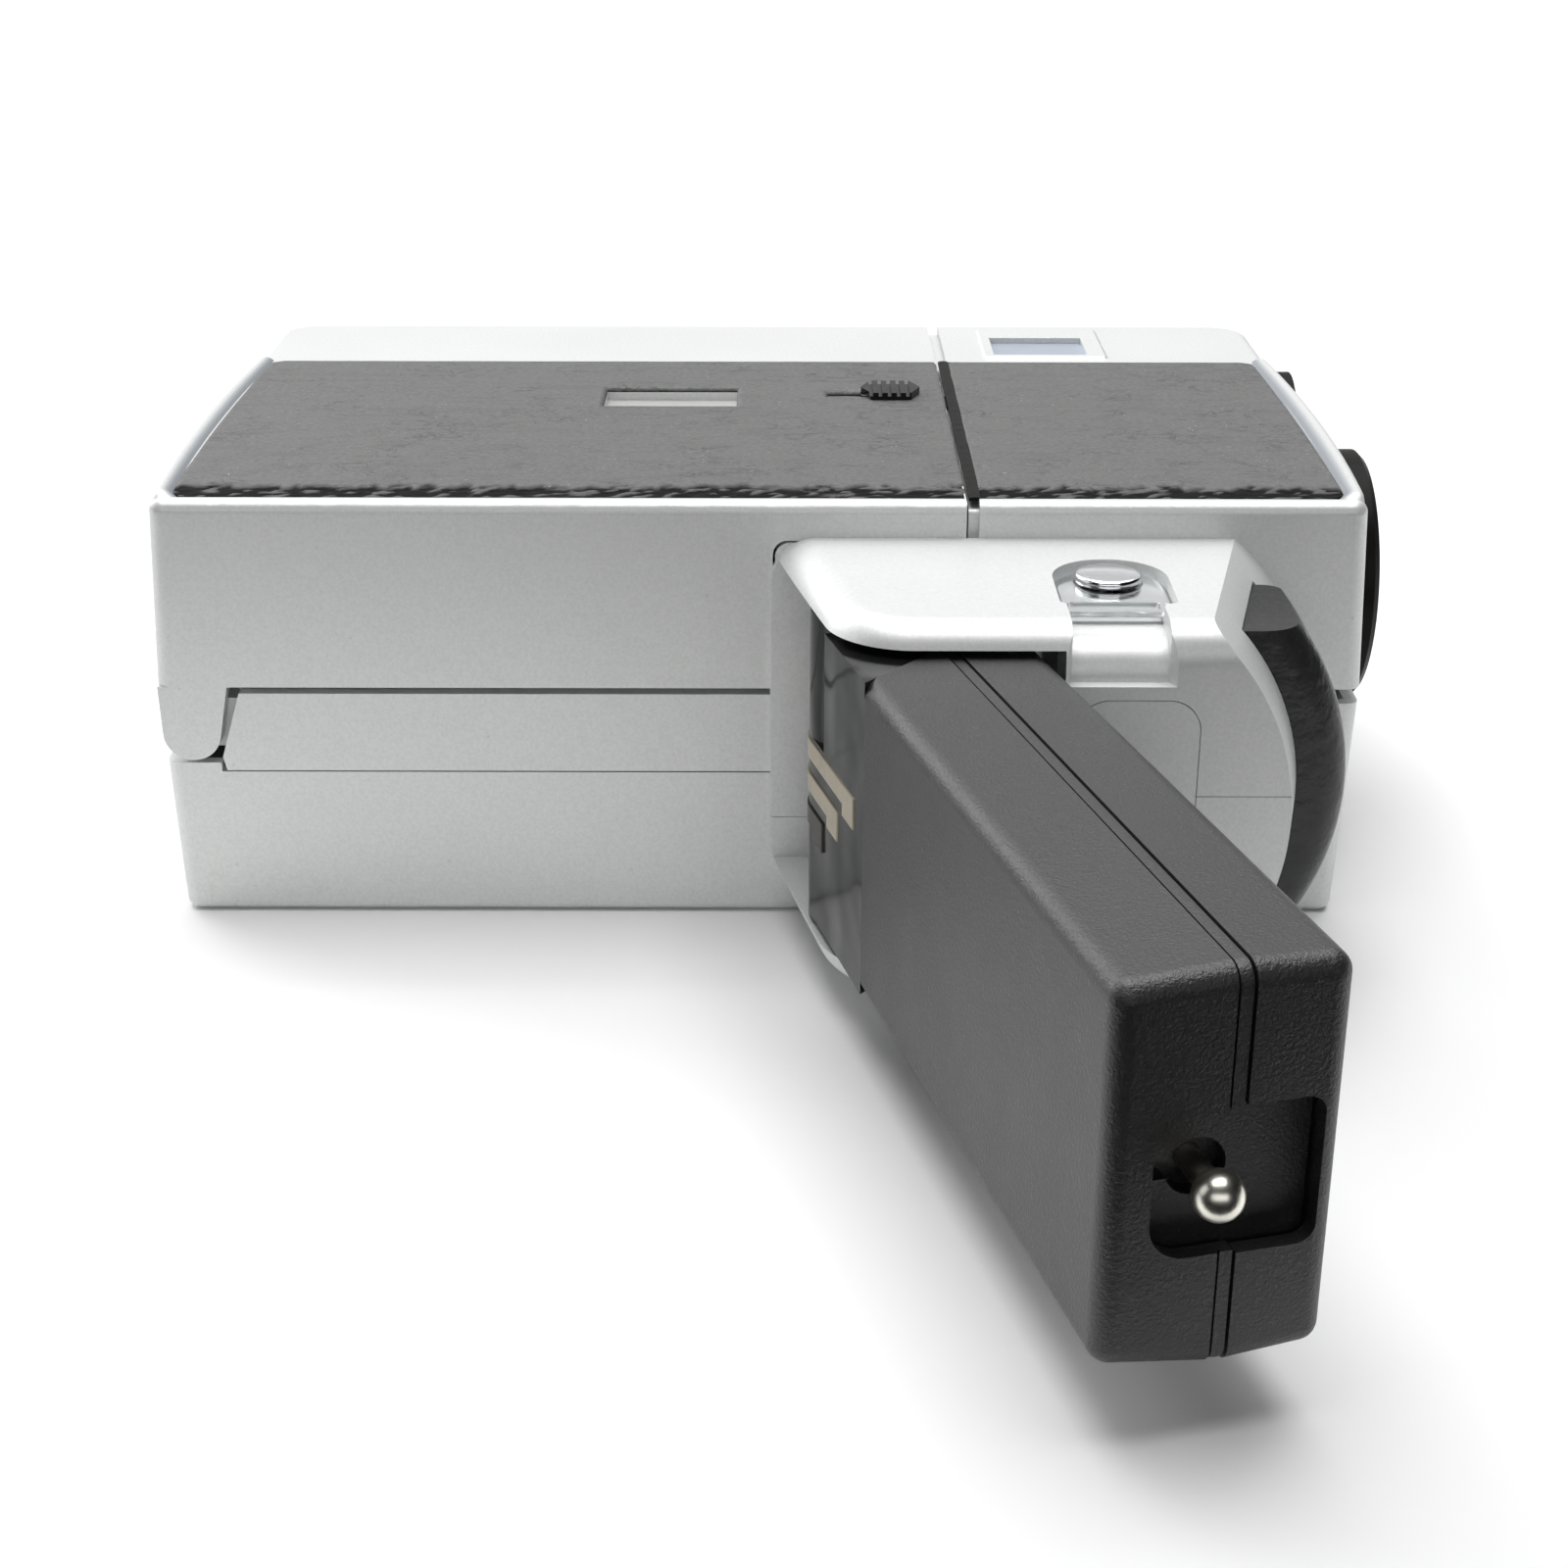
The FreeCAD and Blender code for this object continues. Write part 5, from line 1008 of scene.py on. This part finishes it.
class MOVIECAMERA_OT_housing(PieceOperator, bpy.types.Operator):
    """Housing under the body with its base plate, strap lug and lock button"""
    bl_idname = "movie_camera.housing"
    bl_label = "Housing"

    def execute(self, context):
        own = settings().metal
        dress("housing_right", "housing_left", "tripod_plate", "tripod_socket", "grip_pin")
        low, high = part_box("strap_plate")
        button_low, button_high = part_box("lock_button")
        x = (low.x + high.x) / 2
        half = (high.x - low.x) / 2
        radius = (button_high.x - button_low.x) / 2
        y = (button_low.y + button_high.y) / 2 + own.button_back
        corner, head_corner = 1 * MM, half * 0.98
        outline = rounded_box(low.x, high.x, low.y, high.y,
                              (corner, corner, head_corner, head_corner))
        slot_rear, slot_front, slot_low, slot_high = 5.6 * MM, 5.4 * MM, 1.7 * MM, 4.1 * MM
        slot_corner, gap = 0.4 * MM, 0.1 * MM
        strap_hole = rounded_box(x - slot_rear, x + slot_front, low.y + slot_low,
                                 low.y + slot_high, [slot_corner] * 4)
        button_hole = circle(x, y, radius + gap)
        bevelled_plate("strap_plate_bevelled", outline, [strap_hole, button_hole], high.z, low.z,
                       own.plate_bevel, "camera", "chrome", ["strap_plate"])
        top = button_high.z
        dome_radius, dome_drop = radius - 0.35 * MM, 0.22 * MM
        underside = top - 1.35 * MM
        stem = radius * 0.4
        dome = [(part * dome_radius, top - dome_drop * part ** 2)
                for part in np.linspace(0, 1, 10)[1:]]
        skirt = [(radius - 0.15 * MM, top - 0.34 * MM), (radius, top - 0.52 * MM),
                 (radius, top - 1.2 * MM), (radius - 0.1 * MM, underside), (stem, underside),
                 (stem, button_low.z)]
        turned("lock_button_cap", dome + skirt, x, y, "lock", "chrome", ["lock_button"])
        return {"FINISHED"}


class MOVIECAMERA_OT_trigger(PieceOperator, bpy.types.Operator):
    """Trigger bar, its switch and its two springs"""
    bl_idname = "movie_camera.trigger"
    bl_label = "Trigger"

    def execute(self, context):
        own = settings().metal
        dress("trigger_switch")
        dress("trigger", look="satin_black")
        low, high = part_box("trigger_springs")
        radius = (high.y - low.y) / 2
        middle = (low.y + high.y) / 2
        for name, z, stands_for in (("trigger_spring_left", low.z + radius, ["trigger_springs"]),
                                    ("trigger_spring_right", high.z - radius, [])):
            coil(name, (low.x, middle, z), (high.x, middle, z), radius - own.spring_wire / 2,
                 own.spring_wire, own.spring_turns, "camera", "steel", stands_for)
        return {"FINISHED"}


class MOVIECAMERA_OT_grip(PieceOperator, bpy.types.Operator):
    """Folding grip with its hinge block, contact strips, end stud and battery cover"""
    bl_idname = "movie_camera.grip"
    bl_label = "Grip"

    def execute(self, context):
        dress("hinge_barrel", "grip_hinge", "grip_shell", "grip_end_plate", "battery_cover",
              "contact_strips")
        dress("grip_end_stud", look="nickel")
        return {"FINISHED"}


class MOVIECAMERA_OT_cells(PieceOperator, bpy.types.Operator):
    """Cells, tray and contact inside the grip"""
    bl_idname = "movie_camera.cells"
    bl_label = "Cells"

    def execute(self, context):
        dress("battery_cell_1", "battery_cell_2", "cell_tray", "end_contact")
        return {"FINISHED"}


class MOVIECAMERA_OT_drive(PieceOperator, bpy.types.Operator):
    """Motor, gears, shutter, film gate and take-up spindle"""
    bl_idname = "movie_camera.drive"
    bl_label = "Film drive"

    def execute(self, context):
        dress("motor", "motor_pinion", "shutter_gear", "shutter_disc", "drive_bracket",
              "take_up_spindle", "spindle_bearing", "film_gate")
        return {"FINISHED"}


class MOVIECAMERA_PT_panel(bpy.types.Panel):
    """Buttons for each group of pieces, with the sizes and colours that they use"""
    bl_idname = "MOVIECAMERA_PT_panel"
    bl_label = "Movie Camera"
    bl_space_type = "VIEW_3D"
    bl_region_type = "UI"
    bl_category = "Movie Camera"

    def draw(self, context):
        for operator in OPERATORS:
            self.layout.operator(operator.bl_idname)
        own = context.scene.movie_camera
        for group in (own.stage, own.paint, own.leather, own.plastic, own.metal):
            box = self.layout.box()
            for name in group.__annotations__:
                box.prop(group, name)


GROUPS = (StageSettings, PaintSettings, LeatherSettings, PlasticSettings, MetalSettings,
          CameraSettings)
OPERATORS = (MOVIECAMERA_OT_stage, MOVIECAMERA_OT_covers, MOVIECAMERA_OT_leathers,
             MOVIECAMERA_OT_door_fittings, MOVIECAMERA_OT_badge, MOVIECAMERA_OT_lens,
             MOVIECAMERA_OT_housing, MOVIECAMERA_OT_trigger, MOVIECAMERA_OT_grip,
             MOVIECAMERA_OT_cells, MOVIECAMERA_OT_drive)
CLASSES = GROUPS + OPERATORS + (MOVIECAMERA_PT_panel,)


def register():
    for kind in CLASSES:
        bpy.utils.register_class(kind)
    bpy.types.Scene.movie_camera = PointerProperty(type=CameraSettings)


def unregister():
    del bpy.types.Scene.movie_camera
    for kind in reversed(CLASSES):
        bpy.utils.unregister_class(kind)


def main():
    register()
    for operator in OPERATORS:
        group, name = operator.bl_idname.split(".")
        getattr(getattr(bpy.ops, group), name)()


if __name__ == "__main__":
    main()
